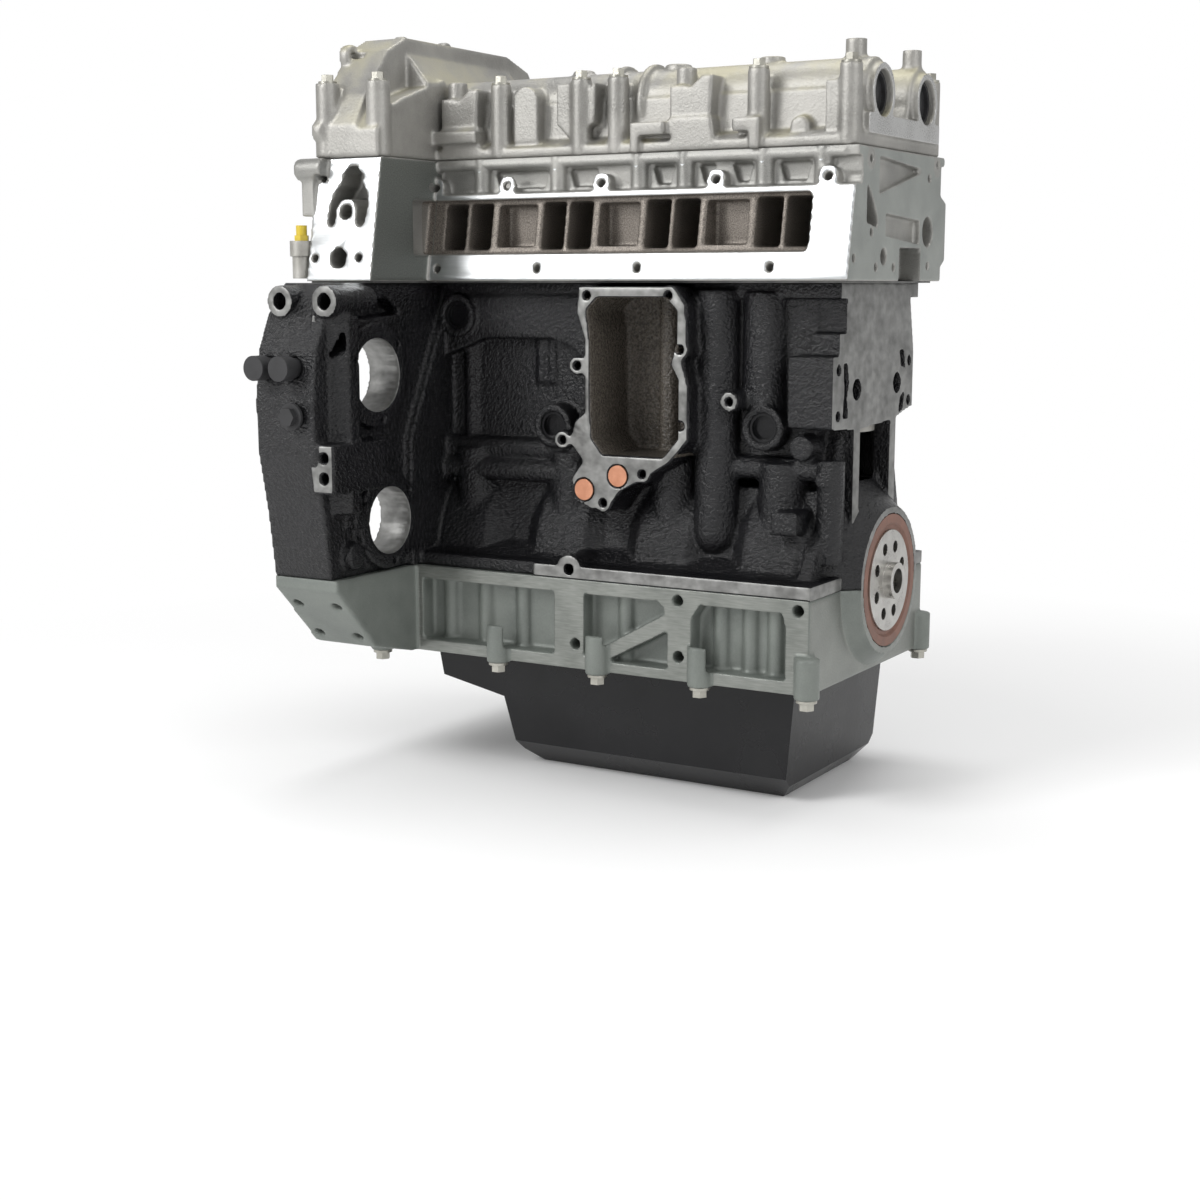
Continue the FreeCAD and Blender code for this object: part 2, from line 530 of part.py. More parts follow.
def slanted(x, y, z, radius, depth):
    # A hole square to the slanted underside of the bedplate flange.
    item = doc.addObject("Part::Cylinder", "slanted")
    item.Placement = FreeCAD.Placement(Vector(), FreeCAD.Rotation(Vector(1, 0, 0), -43))
    bind(item, Radius=radius, Height=depth)
    return place(item, x, f"{y} - 6", f"{z} - 7")


def bedplate_bolts():
    bolts = []
    places = [(x, y) for x in LONG_BOLTS for y in ("-railSide - 1", "farRail - 2")]
    places += [(-458, -150), (-458, 110)]
    for x, y in places:
        seat = "-bedplateDepth - 2"
        bolts.append(fuse([rod("z", x, y, seat, "boltRadius", 18),
                           rod("z", x, y, f"{seat} - 2.5", 9, 2.5),
                           hex_bar("z", x, y, f"{seat} - 9", 12, 7)]))
    piece("bedplate_bolts", group(bolts))


def oil_pan():
    top = "-bedplateDepth"
    flange = box(("-rearWall + 18", -26), (-124, 104), (f"{top} - panFlange", top))
    slope = [("-rearWall + 34", f"{top} - 1"), ("-42", f"{top} - 1"), ("-50", "-panBottom + 14"),
             ("-62", "-panBottom"), ("-panRear + 14", "-panBottom"), ("-panRear", "-panBottom + 12"),
             ("-panRear - 16", "-126"), ("-rearWall + 40", "-112")]
    inner = [("-rearWall + 34 + panWall", f"{top} + 5"), ("-42 - panWall", f"{top} + 5"),
             ("-50 - panWall", "-panBottom + 14 + panWall / 2"), ("-62 - panWall / 2", "-panBottom + panWall"),
             ("-panRear + 14 + panWall / 2", "-panBottom + panWall"),
             ("-panRear + panWall", "-panBottom + 12 + panWall / 2"),
             ("-panRear - 16 + panWall", "-126 + panWall"), ("-rearWall + 40 + panWall", "-112 + panWall")]
    sump = pad("xz", slope, -108, 92)
    # The long lower edges are chamfered, as pressed steel is rounded there.
    chamfer = [pad("yz", [("-112", "-panBottom + 26"), ("-112", "-panBottom - 5"), ("-78", "-panBottom - 5")],
                   "-rearRim", 0),
               pad("yz", [("96", "-panBottom + 26"), ("96", "-panBottom - 5"), ("62", "-panBottom - 5")],
                   "-rearRim", 0)]
    room = pad("xz", inner, "-108 + panWall", "92 - panWall")
    inner_chamfer = [pad("yz", [("-112", "-panBottom + 26 + panWall"), ("-112", "-panBottom - 5"),
                                ("-78 + panWall", "-panBottom - 5")], "-rearRim", 0),
                     pad("yz", [("96", "-panBottom + 26 + panWall"), ("96", "-panBottom - 5"),
                                ("62 - panWall", "-panBottom - 5")], "-rearRim", 0)]
    boss = rod("x", "-panRear - 14", -10, -158, 13, 12)
    shell = cut(fuse([flange, cut(sump, chamfer), boss]), [cut(room, inner_chamfer)])
    piece("oil_pan", cut(shell, [rod("x", "-panRear - 20", -10, -158, 7, 30)]))
    piece("drain_plug", fuse([rod("x", "-panRear - 14", -10, -158, 6.95, 12),
                              rod("x", "-panRear - 16", -10, -158, 11, 2),
                              hex_bar("x", "-panRear - 24", -10, -158, 17, 8)]))


def cylinder_head():
    lean = "tan(intakeTilt)"
    step = in_head(345)
    main = pad("yz", [("-headSide", HEAD_BASE), (f"-headSide + {lean} * ({step} - {HEAD_BASE})", step),
                      ("-93", step), ("-93", f"{HEAD_TOP} - 8"), ("-101", f"{HEAD_TOP} - 8"), ("-101", HEAD_TOP),
                      ("headFar", HEAD_TOP), ("headFar", f"{HEAD_TOP} - 8"), ("headFar - 8", f"{HEAD_TOP} - 8"),
                      ("headFar - 8", in_head(342)), ("headFar + 6", in_head(336)),
                      ("headFar + 6", in_head(284)), ("headFar - 4", in_head(278)), ("headFar - 4", HEAD_BASE)], "-rearRim", f"{END} + headOverhang")
    plate = pad("yz", [("-plateSide", HEAD_BASE), (f"-plateSide + {lean} * headHeight", HEAD_TOP),
                       ("-90", HEAD_TOP), ("-90", HEAD_BASE)], "-rearRim", "-caseFront")
    lobes = [leaning(x, f"{HEAD_BASE} + 86", 9, 14, "-headSide") for x in (-419, -340, -240, -126, -22)]
    stubs = [rod("z", x, -95, step, 8, f"{HEAD_TOP} - {step}") for x in (-372, -290, -206, -160, -84, -30)]
    lip = rod("x", -418, -98, f"{HEAD_TOP} - 5", 4.6, 410)
    boss = [rod("x", "-rearRim - 16", -193, in_head(366), 10, 30),
            box(("-rearRim - 12", "-rearRim + 2"), (-197, -187), (in_head(324), in_head(366)))]
    corner_rings = [rod("x", f"{END} + headOverhang - 3", y, in_head(z), 8, 4.2) for y, z in ((-77, 366), (78, 367))]
    cheek = box(("-rearRim", "-rearWall + 8"), (80, 118), (HEAD_BASE, HEAD_TOP))
    solid = fuse([main, plate, cheek, *lobes, *stubs, lip, *boss, *corner_rings])
    tools = [box(("-rearRim - 5", "-rearWall"), (-110, 106), (200, 500))]
    # The long recess of the intake face with its eight ports and three pockets.
    depth = "-headSide - 10"
    middle = "portFloor + portHeight / 2"
    low, high = "(portFloor - 4)", "(portFloor + portHeight + 3)"
    tools.append(pad("yz", [("-140", low), (f"-headSide + {lean} * ({low} - {HEAD_BASE}) + 5", low),
                            (f"-headSide + {lean} * ({high} - {HEAD_BASE}) + 5", high), ("-140", high)],
                     -428, -36))
    for number in CYLINDERS:
        for side in (-1, 1):
            x = f"{bore_x(number)} + 9 + {side} * (portWidth / 2 + 2)"
            tools.append(box((f"{x} - portWidth / 2", f"{x} + portWidth / 2"), (depth, -40),
                             ("portFloor", "portFloor + portHeight")))
            stem = f"{bore_x(number)} + {side} * valveSpacing / 2"
            tools.append(rod_to_cam("intake", stem, 95, f"{SEAT_DISTANCE} + 15", "intakeHead - 2"))
            tools.append(rod_to_cam("exhaust", stem, 100, f"{SEAT_DISTANCE} + 15", "exhaustHead - 2"))
            for way in ("intake", "exhaust"):
                tools.append(rod_to_cam(way, stem, 20, f"{SEAT_DISTANCE} + 15", "stemRadius + runningGap"))
                tools.append(rod_to_cam(way, stem, 20, 76, "tappetRadius - 1"))
            tools.append(rod_to_cam("intake", stem, f"{SEAT_DISTANCE} - 4", f"{SEAT_DISTANCE} + 20", "intakeHead + 0.8"))
            tools.append(rod_to_cam("exhaust", stem, f"{SEAT_DISTANCE} - 4", f"{SEAT_DISTANCE} + 20", "exhaustHead + 0.8"))
        tools.append(box((f"{bore_x(number)} - 28", f"{bore_x(number)} + 28"), (22, "headFar + 10"),
                         (in_head(296), in_head(322))))
    for number in range(3):
        x = f"{wall_x(number + 1)} + 9"
        tools.append(box((f"{x} - 20", f"{x} + 20"), (depth, "-headSide + 34"),
                         ("portFloor + 2", "portFloor + portHeight - 2")))
    # Holes of the intake flange, lower row and upper row.
    for x in (-410, -300, -196, -68):
        tools.append(leaning(x, f"{HEAD_BASE} + 13", 3.6, 20, "-headSide - 8"))
    for x in (-419, -340, -240, -126, -22):
        tools.append(leaning(x, f"{HEAD_BASE} + 87", 3.6, 20, "-headSide - 8"))
    # Pockets between the stubs, under the carrier joint.
    for start, end in ((-360, -302), (-280, -250), (-194, -172), (-148, -132), (-116, -96), (-72, -42)):
        tools.append(pad("xz", [(start, in_head(365)), (start + 5, in_head(349)), (end - 5, in_head(349)),
                                (end, in_head(365))], -100, -86))
    # The ports of the water plate: a keyhole with a ring boss standing in it, and a round one.
    keyhole = pad("xz", [(-463, in_head(352)), (-461, in_head(362)), (-455, in_head(368)), (-447, in_head(368)),
                         (-441, in_head(362)), (-439, in_head(352)), (-433, in_head(345)), (-431, in_head(334)),
                         (-433, in_head(318)), (-438, in_head(313)), (-443, in_head(318)), (-467, in_head(318)),
                         (-471, in_head(313)), (-475, in_head(318)), (-473, in_head(336)), (-469, in_head(346))],
                  "-plateSide - 5", "-plateSide + 44")
    horseshoe = [rod("y", -455, "-plateSide - 10", in_head(327), 12, 60),
                 box((-467, -443), ("-plateSide - 10", "-plateSide + 50"), (in_head(300), in_head(327)))]
    tools.append(cut(keyhole, horseshoe))
    tools.append(rod("y", -455, "-plateSide - 5", in_head(327), 6.6, 46))
    tools.append(rod("y", -459, "-plateSide - 5", in_head(286), 9, 50))
    for x, z in ((-442, 358), (-483, 358), (-436, 286), (-486, 286)):
        tools.append(rod("y", x, "-plateSide - 2", in_head(z), 3.6, 34))
    # Ports, pockets and holes of the end face.
    face = f"{END} + headOverhang"
    tools.append(pad("yz", [("-82", in_head(346)), ("-72", in_head(338)), ("-58", in_head(318)), ("-58", in_head(310)), ("-82", in_head(314))],
                     f"{face} - 30", f"{face} + 5"))
    tools.append(pad("yz", [("-56", in_head(369)), ("50", in_head(362)), ("-56", in_head(338))], f"{face} - 7", f"{face} + 5"))
    tools.append(pad("yz", [("-40", in_head(322)), ("40", in_head(318)), ("40", in_head(298)), ("-40", in_head(304))],
                     f"{face} - 7", f"{face} + 5"))
    tools.append(rod("x", f"{face} - 25", 60, in_head(309), 13, 30))
    tools.append(rod("x", f"{face} - 25", -43, in_head(286), 7, 30))
    tools.append(box((f"{face} - 22", f"{face} + 5"), (-7, 44), (f"{HEAD_BASE} - 2", in_head(294))))
    for y, z in ((-77, 366), (78, 369), (-95, 352), (-50, 352), (61, 356), (-108, 284), (-60, 277), (-20, 277), (62, 279),
                 (-71, 306)):
        tools.append(rod("x", f"{face} - 14", y, in_head(z), 3.6, 20))
    piece("cylinder_head", cut(solid, tools))


# Along a valve's axis, distances are measured down from the camshaft.
TAPPET_TOP = "(camBase + faceGap)"
SEAT_DISTANCE = f"((camHeight - {HEAD_BASE} - 4) / cos(valveTilt))"


def rod_to_cam(way, x, start, end, radius):
    # A round bar on a valve's axis, between two distances from the camshaft.
    sign = -1 if way == "intake" else 1
    item = doc.addObject("Part::Cylinder", "inclined")
    item.Placement = FreeCAD.Placement(Vector(), FreeCAD.Rotation(Vector(-sign, 0, 0), 10))
    bind(item, Radius=radius, Height=f"({end}) - ({start})", Placement_Rotation_Angle="valveTilt")
    return place(item, x, f"{sign} * (camSpread - ({end}) * sin(valveTilt))",
                 f"camHeight - ({end}) * cos(valveTilt)")


def leaning(x, z, radius, length, y):
    # A round bar square to the leaning intake face.
    item = doc.addObject("Part::Cylinder", "leaning")
    item.Placement = FreeCAD.Placement(Vector(), FreeCAD.Rotation(Vector(-1, 0, 0), 90 + s.intakeTilt))
    bind(item, Radius=radius, Height=length, Placement_Rotation_Angle="90 + intakeTilt")
    return place(item, x, f"{y} + tan(intakeTilt) * (({z}) - {HEAD_BASE})", z)


def head_gasket():
    sheet_metal = pad("xy", [(-3, -104), (-3, 88), ("-rearWall + 6", 88), ("-rearWall + 6", 116),
                             ("-rearRim", 116), ("-rearRim", -200), ("-caseFront - 2", -200),
                             ("-caseFront - 2", -104)], DECK, HEAD_BASE)
    holes = [rod("z", bore_x(number), 0, f"{DECK} - 1", "boreRadius + 1.2", "gasketThick + 2")
             for number in CYLINDERS]
    holes.append(box(("-rearRim - 5", "-rearWall"), (-110, 106), (f"{DECK} - 1", f"{DECK} + 5")))
    piece("head_gasket", cut(sheet_metal, holes))


COLUMNS = ((-9, -92), (-93, -92), (-230, -92), (-268, -92), (-354, -92), (-9, 88), (-93, 88), (-177, 88),
           (-284, 88), (-391, 88))
REAR_COLUMNS = ((-430, -177), (-484, -181))
COLUMN_TOP = in_carrier(442)


def clamp_block(x):
    # A block on the front barrel with a round boss and a notched top, on its pedestal.
    wedge = pad("xz", [(x, in_carrier(403)), (x + 40, in_carrier(403)), (x + 42, in_carrier(440)),
                       (x + 32, in_carrier(440)), (x + 20, in_carrier(430)), (x + 14, in_carrier(432)),
                       (x, in_carrier(432))], -98, -60)
    boss = rod("z", x + 9, -82, in_carrier(404), 9, 44)
    pedestal = pad("xz", [(x + 2, HEAD_TOP), (x + 46, HEAD_TOP), (x + 42, in_carrier(404)),
                          (x + 2, in_carrier(404))], -100, -70)
    return [wedge, boss, pedestal]


def stepped_bracket(x, wide, leg):
    # A low bracket in front of the joint, cut out under its bar; leg says on which side it stands.
    top = in_carrier(402)
    start, end = (x, x + 8) if leg < 0 else (x + wide - 10, x + wide)
    return [box((x, x + wide), (-106, -88), (in_carrier(391), top)),
            box((start, end), (-106, -88), (HEAD_TOP, in_carrier(392)))]


def cam_carrier():
    front = f"{END} + headOverhang - 6"
    line = [(-100, 376), (-100, 385), (-84, 392), (-82, 424), (-52, 436), (-24, 426), (-17, 404), (17, 404), (24, 426),
            (52, 436), (82, 424), (84, 392), (98, 385), (98, 376)]
    body = pad("yz", [(y, in_carrier(z)) for y, z in line], "-rearWall", front)
    barrels = [rod("x", "-rearWall", f"{side} * camSpread", "camHeight", 30, f"rearWall + {front}")
               for side in (-1, 1)]
    goggles = [rod("x", f"{front} - 2", f"{side} * camSpread", "camHeight", 25, 8) for side in (-1, 1)]
    ledge = box((f"{front} - 20", f"{front} + 6"), ("-82", "82"), (in_carrier(386), in_carrier(404)))
    lower_ledge = box((f"{front} - 20", f"{front} + 2"), ("-92", "92"), (HEAD_TOP, in_carrier(388)))
    hump_line = [(-190, 376), (-190, 404), (-174, 432), (-140, 474), (-112, 488), (60, 488), (98, 476), (116, 452),
                 (118, 410), (118, 376)]
    hump = pad("yz", [(y, in_carrier(z)) for y, z in hump_line], "-rearRim", "-rearWall + 10")
    wing_line = [(-190, 376), (-190, 400), (-172, 420), (-150, 430), (-84, 452), (-70, 376)]
    wing = pad("yz", [(y, in_carrier(z)) for y, z in wing_line], "-rearWall", "-caseFront - 2")
    slope = pad("xz", [("-rearWall", in_carrier(400)), ("-rearWall", in_carrier(486)),
                       ("-caseFront - 2", in_carrier(446)), ("-caseFront - 2", in_carrier(400))], -112, 60)
    columns = [rod("z", x, y, HEAD_TOP, 9.5, f"{COLUMN_TOP} - {HEAD_TOP}") for x, y in COLUMNS]
    columns += [rod("z", x, y, HEAD_TOP, 11, f"{COLUMN_TOP} - {HEAD_TOP}") for x, y in REAR_COLUMNS]
    rear_lobes = [rod("x", "-rearRim", y, in_carrier(z), 11, 10)
                  for y, z in ((-142, 470), (-62, 486), (8, 488), (74, 482), (108, 440), (-184, 400))]
    # Walls between the columns and the barrels, the blocks, brackets and bosses of the intake side.
    webs = [box((x - 4, x + 4), ("-88", "-70"), (HEAD_TOP, in_carrier(438))) for x, y in COLUMNS if y < 0]
    webs += [box((x - 4, x + 4), ("70", "83"), (HEAD_TOP, in_carrier(438))) for x, y in COLUMNS if y > 0]
    forms = [*clamp_block(-418), *clamp_block(-176), *stepped_bracket(-432, 58, -1),
             *stepped_bracket(-211, 34, -1), *stepped_bracket(-112, 26, 1),
             box((-338, -312), (-97, -70), (in_carrier(390), in_carrier(426))),
             rod("y", -325, -97, in_carrier(426), 13, 27),
             rod("z", -438, -90, HEAD_TOP, 9, 58), rod("y", -54, -95, in_carrier(393), 9, 14),
             rod("z", -100, "-camSpread", in_carrier(440), 11, 16), rod("z", -192, "-camSpread", in_carrier(440), 12, 15),
             rod("z", -290, "-camSpread", in_carrier(440), 10, 15), box((-30, -12), (-97, -84), (HEAD_TOP, in_carrier(430))),
             box((-17, -4), (80, 101), (in_carrier(393), in_carrier(402)))]
    forms += [cut(rod("x", x, "-camSpread", "camHeight", 35.5, 6),
                  [box((x - 1, x + 7), ("-camSpread + 10", 40), (300, in_carrier(440)))]) for x in (-246, -216)]
    # The middle clamp block, pointed below.
    forms.append(pad("xz", [(-292, in_carrier(404)), (-286, in_carrier(399)), (-278, in_carrier(390)),
                            (-270, in_carrier(399)), (-252, in_carrier(404)), (-250, in_carrier(440)),
                            (-262, in_carrier(432)), (-276, in_carrier(440)), (-292, in_carrier(440))], -97, -60))
    injectors = []
    for number in CYLINDERS:
        injectors.append(rod("z", bore_x(number), -4, in_carrier(398), 15, 48))
    tubes = [rod("z", -22, -52, in_carrier(440), 9, 26), rod("z", -11, 48, in_carrier(440), 8.5, 26),
             rod("z", -40, 0, in_carrier(398), 8, 40)]
    solid = fuse([body, *barrels, *goggles, ledge, lower_ledge, hump, wing, slope, *columns, *webs, *rear_lobes, *forms,
                  *injectors, *tubes])
    tools = []
    for side in (-1, 1):
        y = f"{side} * camSpread"
        tools.append(rod("x", "-rearRim", y, "camHeight", "camJournal + runningGap", "rearRim - 12"))
        tools.append(rod("x", -12, y, "camHeight", "camPlug", 30))
        for number in CYLINDERS:
            start = f"{bore_x(number)} - {BAY} / 2"
            tools.append(rod("x", start, y, "camHeight", 23, BAY))
            for pair in (-1, 1):
                x = f"{bore_x(number)} + {pair} * valveSpacing / 2"
                way = "intake" if side < 0 else "exhaust"
                tools.append(rod_to_cam(way, x, 8, 60, "tappetRadius + runningGap"))
    # Room of the cam sprockets, open to the rear and to the head below.
    room = [(-110, 300), (-110, 430), (-92, 464), (-64, 476), (60, 476), (92, 464), (106, 440), (106, 300)]
    tools.append(pad("yz", [(y, in_carrier(z)) for y, z in room], "-rearRim - 5", "-rearWall"))
    side_room = [(-180, 388), (-180, 402), (-164, 428), (-136, 462), (-118, 462), (-118, 388)]
    tools.append(pad("yz", [(y, in_carrier(z)) for y, z in side_room], "-rearRim - 5", "-rearWall - 8"))
    for x, y in COLUMNS + REAR_COLUMNS:
        tools.append(rod("z", x, y, f"{COLUMN_TOP} - 20", "boltRadius + boltClearance", 30))
    for y, z in ((-142, 470), (-62, 486), (8, 488), (74, 482), (-184, 400)):
        tools.append(rod("x", "-rearRim - 2", y, in_carrier(z), 3.6, 24))
    for number in CYLINDERS:
        tools.append(rod("z", bore_x(number), -4, in_carrier(420), 9, 30))
    for x, y in ((-22, -52), (-11, 48), (-409, -82), (-167, -82)):
        tools.append(rod("z", x, y, f"{COLUMN_TOP}", 4.5, 30))
    tools.append(box(("-2 * rearRim", "rearRim"), (-300, 300), (300, HEAD_TOP)))
    piece("cam_carrier", cut(solid, tools))


def carrier_bolts():
    bolts = []
    for x, y in COLUMNS + REAR_COLUMNS:
        bolts.append(fuse([rod("z", x, y, f"{COLUMN_TOP} - 18", "boltRadius", 18),
                           rod("z", x, y, COLUMN_TOP, 8.5, 2), hex_bar("z", x, y, f"{COLUMN_TOP} + 2", 10, 6)]))
    piece("carrier_bolts", group(bolts))


def seals_and_plugs():
    ring = turned([("flangeRadius + runningGap", "0"), ("sealRadius - 0.15", "0"),
                   ("sealRadius - 0.15", "sealThick"), ("flangeRadius + 6", "sealThick"),
                   ("flangeRadius + 4", "sealThick - 2"), ("flangeRadius + runningGap", "sealThick - 2")],
                  "x", "-sealThick", 0, 0)
    piece("crank_seal", ring)
    cups = []
    for number, height in ((0, 140), (2, 134), (3, 234)):
        cups.append(turned([("0", "0"), ("12.95", "0"), ("12.95", "7"), ("10.5", "7"), ("10.5", "2"), ("0", "2")],
                           "y", f"{bore_x(number)} - 12", "-wallSide - 10", height))
        cups[-1].Placement.Rotation = FreeCAD.Rotation(Vector(1, 0, 0), 90)
    piece("core_plugs", group(cups))
    caps = []
    for x in ("-caseFront - 61", "-caseFront - 33"):
        caps.append(fuse([rod("y", x, -296, 190, 8.8, 25), rod("y", x, -298, 190, 11, 14)]))
    caps.append(fuse([rod("y", "-caseFront - 29", -286, 148, 7, 14), rod("y", "-caseFront - 29", -288, 148, 12, 3),
                      hex_bar("y", "-caseFront - 29", -294, 148, 15, 7)]))
    piece("case_plugs", group(caps))
    coppers = []
    for x, z in ((-246, 80), (-211, 94)):
        coppers.append(fuse([rod("y", x, "-coolerSide + 0.3", z, 9.5, 5), rod("y", x, "-coolerSide + 5", z, 7, 6.5)]))
    piece("oil_port_plugs", group(coppers))
    discs = []
    for side in (-1, 1):
        discs.append(turned([("0", "0"), ("camPlug - 0.05", "0"), ("camPlug - 0.05", "8"), ("camPlug - 3", "8"),
                             ("camPlug - 3", "4"), ("7", "4"), ("5", "6"), ("0", "6")],
                            "x", -10, f"{side} * camSpread", "camHeight"))
    piece("cam_end_plugs", group(discs))


def main_bearing_shells():
    rings = []
    for number in range(5):
        middle = wall_x(number)
        outer = rod("x", f"{middle} - 10", 0, 0, "mainRadius + shellThick", 20)
        rings.append(cut(outer, [rod("x", f"{middle} - 11", 0, 0, "mainRadius + runningGap", 22)]))
    halves = []
    for ring in rings:
        for low, high in ((0, 60), (-60, 0)):
            halves.append(common(ring, box(("-rearRim", 0), (-60, 60), (low, high))))
    piece("main_bearing_shells", group(halves))


PIN_SIDE = (1, -1, -1, 1)


def crankshaft():
    parts = [rod("x", "-flangeThick", 0, 0, "flangeRadius", "flangeThick"),
             rod("x", 0, 0, 0, "hubRadius", "hubHeight"),
             rod("x", "-chainPlane - 8", 0, 0, "noseRadius", 60)]
    for number in range(5):
        start = f"{wall_x(number)} - 13" if number < 4 else "-rearWall + 0.5"
        length = f"-flangeThick - ({start}) + 1" if number == 0 else 26
        parts.append(rod("x", start, 0, 0, "mainRadius", length))
    for number in CYLINDERS:
        middle = bore_x(number)
        turn = s.restAngle if PIN_SIDE[number] > 0 else s.restAngle + 180
        # The web is drawn with its pin on top, then turned to the rest angle.
        web = []
        for side in (-1, 1):
            start = f"{middle} + 17.5" if side > 0 else f"{middle} - 40.5"
            web.append(rod("x", start, 0, 0, 46, 23))
            web.append(rod("x", start, 0, "crankThrow", "pinRadius + 5", 23))
            web.append(box((start, f"{start} + 23"), (-37, 37), (0, "crankThrow")))
            sector = common(rod("x", start, 0, 0, 80, 23),
                            pad("yz", [("-84", "-100"), ("84", "-100"), ("70", "-22"), ("44", "4"), ("-44", "4"),
                                       ("-70", "-22")], start, f"{start} + 23"))
            web.append(sector)
        web.append(rod("x", f"{middle} - 18", 0, "crankThrow", "pinRadius", 36))
        throw = fuse(web)
        throw.Placement = FreeCAD.Placement(Vector(), FreeCAD.Rotation(Vector(1, 0, 0), -turn))
        parts.append(throw)
    holes = [rod("x", "-pilotDepth + hubHeight", 0, 0, "pilotRadius", "pilotDepth + 5")]
    for number in range(8):
        angle = 45 * number + 22.5
        holes.append(rod("x", "-flangeHoleDepth", f"flangeBoltCircle * sin({angle})",
                         f"flangeBoltCircle * cos({angle})", "flangeHole", "flangeHoleDepth + 5"))
    holes.append(rod("x", "-chainPlane - 20", 0, 0, 6.2, 40))
    piece("crankshaft", cut(fuse(parts), holes))
    bolt = fuse([rod("x", "-chainPlane - 8", 0, 0, 6, 24), rod("x", "-chainPlane - 11", 0, 0, 19, 3),
                 hex_bar("x", "-chainPlane - 19", 0, 0, 22, 8)])
    piece("crank_nose_bolt", bolt)


def tooth_circle(teeth):
    # Pitch radius, by the rule that one tooth takes one pitch of the circle.
    return teeth * s.chainPitch / (2 * math.pi)


def sprocket_shape(teeth, bore, hub, width, phase):
    # Toothed disc about the X axis at the chain plane: teeth as a polygon, with a hub behind.
    pitch_radius = tooth_circle(teeth)
    root = pitch_radius - 2.6
    tip = pitch_radius + 1.6
    corners = []
    for tooth in range(teeth):
        for share, radius in ((-0.30, root), (-0.12, tip), (0.12, tip), (0.30, root)):
            angle = phase + (tooth + 0.5 + share) * 2 * math.pi / teeth
            corners.append(Vector(-s.chainPlane - s.toothWidth / 2, radius * math.sin(angle),
                                  radius * math.cos(angle)))
    wire = Part.makePolygon(corners + [corners[0]])
    disc = Part.Face(wire).extrude(Vector(s.toothWidth, 0, 0))
    boss = Part.makeCylinder(hub, width, Vector(-s.chainPlane - s.toothWidth / 2, 0, 0), Vector(1, 0, 0))
    hole = Part.makeCylinder(bore, 60, Vector(-s.chainPlane - 30, 0, 0), Vector(1, 0, 0))
    return disc.fuse(boss).cut(hole).removeSplitter()


def belt_path(circles):
    # Open belt round circles given as (y, z, radius) in counterclockwise order: arcs and tangents.
    runs = []
    count = len(circles)
    for index in range(count):
        here = circles[index]
        after = circles[(index + 1) % count]
        away = (after[0] - here[0], after[1] - here[1])
        distance = math.hypot(*away)
        heading = math.atan2(away[1], away[0])
        turn = math.acos((here[2] - after[2]) / distance)
        runs.append(heading - turn)
    stretches = []
    for index in range(count):
        arrive = runs[index - 1]
        leave = runs[index]
        sweep = (leave - arrive) % (2 * math.pi)
        stretches.append((circles[index], arrive, sweep, runs[index], circles[(index + 1) % count]))
    return stretches


def belt_points(circles, count):
    # Evenly spaced points along the belt, as (y, z), and the length of the whole belt.
    stretches = belt_path(circles)
    pieces_of_path = []
    for circle, arrive, sweep, leave, after in stretches:
        pieces_of_path.append(("arc", circle, arrive, sweep, circle[2] * sweep))
        start = (circle[0] + circle[2] * math.cos(leave), circle[1] + circle[2] * math.sin(leave))
        end = (after[0] + after[2] * math.cos(leave), after[1] + after[2] * math.sin(leave))
        pieces_of_path.append(("line", start, end, None, math.dist(start, end)))
    total = sum(part[4] for part in pieces_of_path)
    count = count or round(total / s.chainPitch / 2) * 2
    points = []
    for number in range(count):
        target = total * number / count
        for part in pieces_of_path:
            if target <= part[4]:
                share = target / part[4]
                break
            target -= part[4]
        if part[0] == "arc":
            circle, arrive, sweep = part[1:4]
            angle = arrive + sweep * share
            points.append((circle[0] + circle[2] * math.cos(angle), circle[1] + circle[2] * math.sin(angle)))
        else:
            points.append(tuple(a + (b - a) * share for a, b in zip(part[1], part[2])))
    return points, total


def chain_circles():
    crank = tooth_circle(int(s.crankTeeth))
    cam = tooth_circle(2 * int(s.crankTeeth))
    return [(0, 0, crank), (s.camSpread, s.camHeight, cam), (-s.camSpread, s.camHeight, cam)]


def link_plate(start, end, half, x, thick):
    # One plate of the chain between two pins, a lozenge with cut corners.
    along = Vector(0, end[0] - start[0], end[1] - start[1])
    length = along.Length
    along.normalize()
    across = Vector(0, -along.z, along.y)
    origin = Vector(x, start[0], start[1])
    corners = [origin + along * a + across * b for a, b in
               ((-half, 0), (0, half), (length, half), (length + half, 0), (length, -half), (0, -half))]
    return Part.Face(Part.makePolygon(corners + [corners[0]])).extrude(Vector(thick, 0, 0))


def timing_chain():
    points, total = belt_points(chain_circles(), 0)
    links = []
    count = len(points)
    middle = -s.chainPlane
    for number in range(count):
        start = points[number]
        end = points[(number + 1) % count]
        outer = number % 2 == 0
        thick = 1.2
        inside = s.toothWidth / 2 + 0.3 + (thick if outer else 0)
        half = 2.7
        shapes = [link_plate(start, end, half, middle + inside, thick),
                  link_plate(start, end, half, middle - inside - thick, thick)]
        links += shapes
    piece("timing_chain", feature(Part.makeCompound(links)))


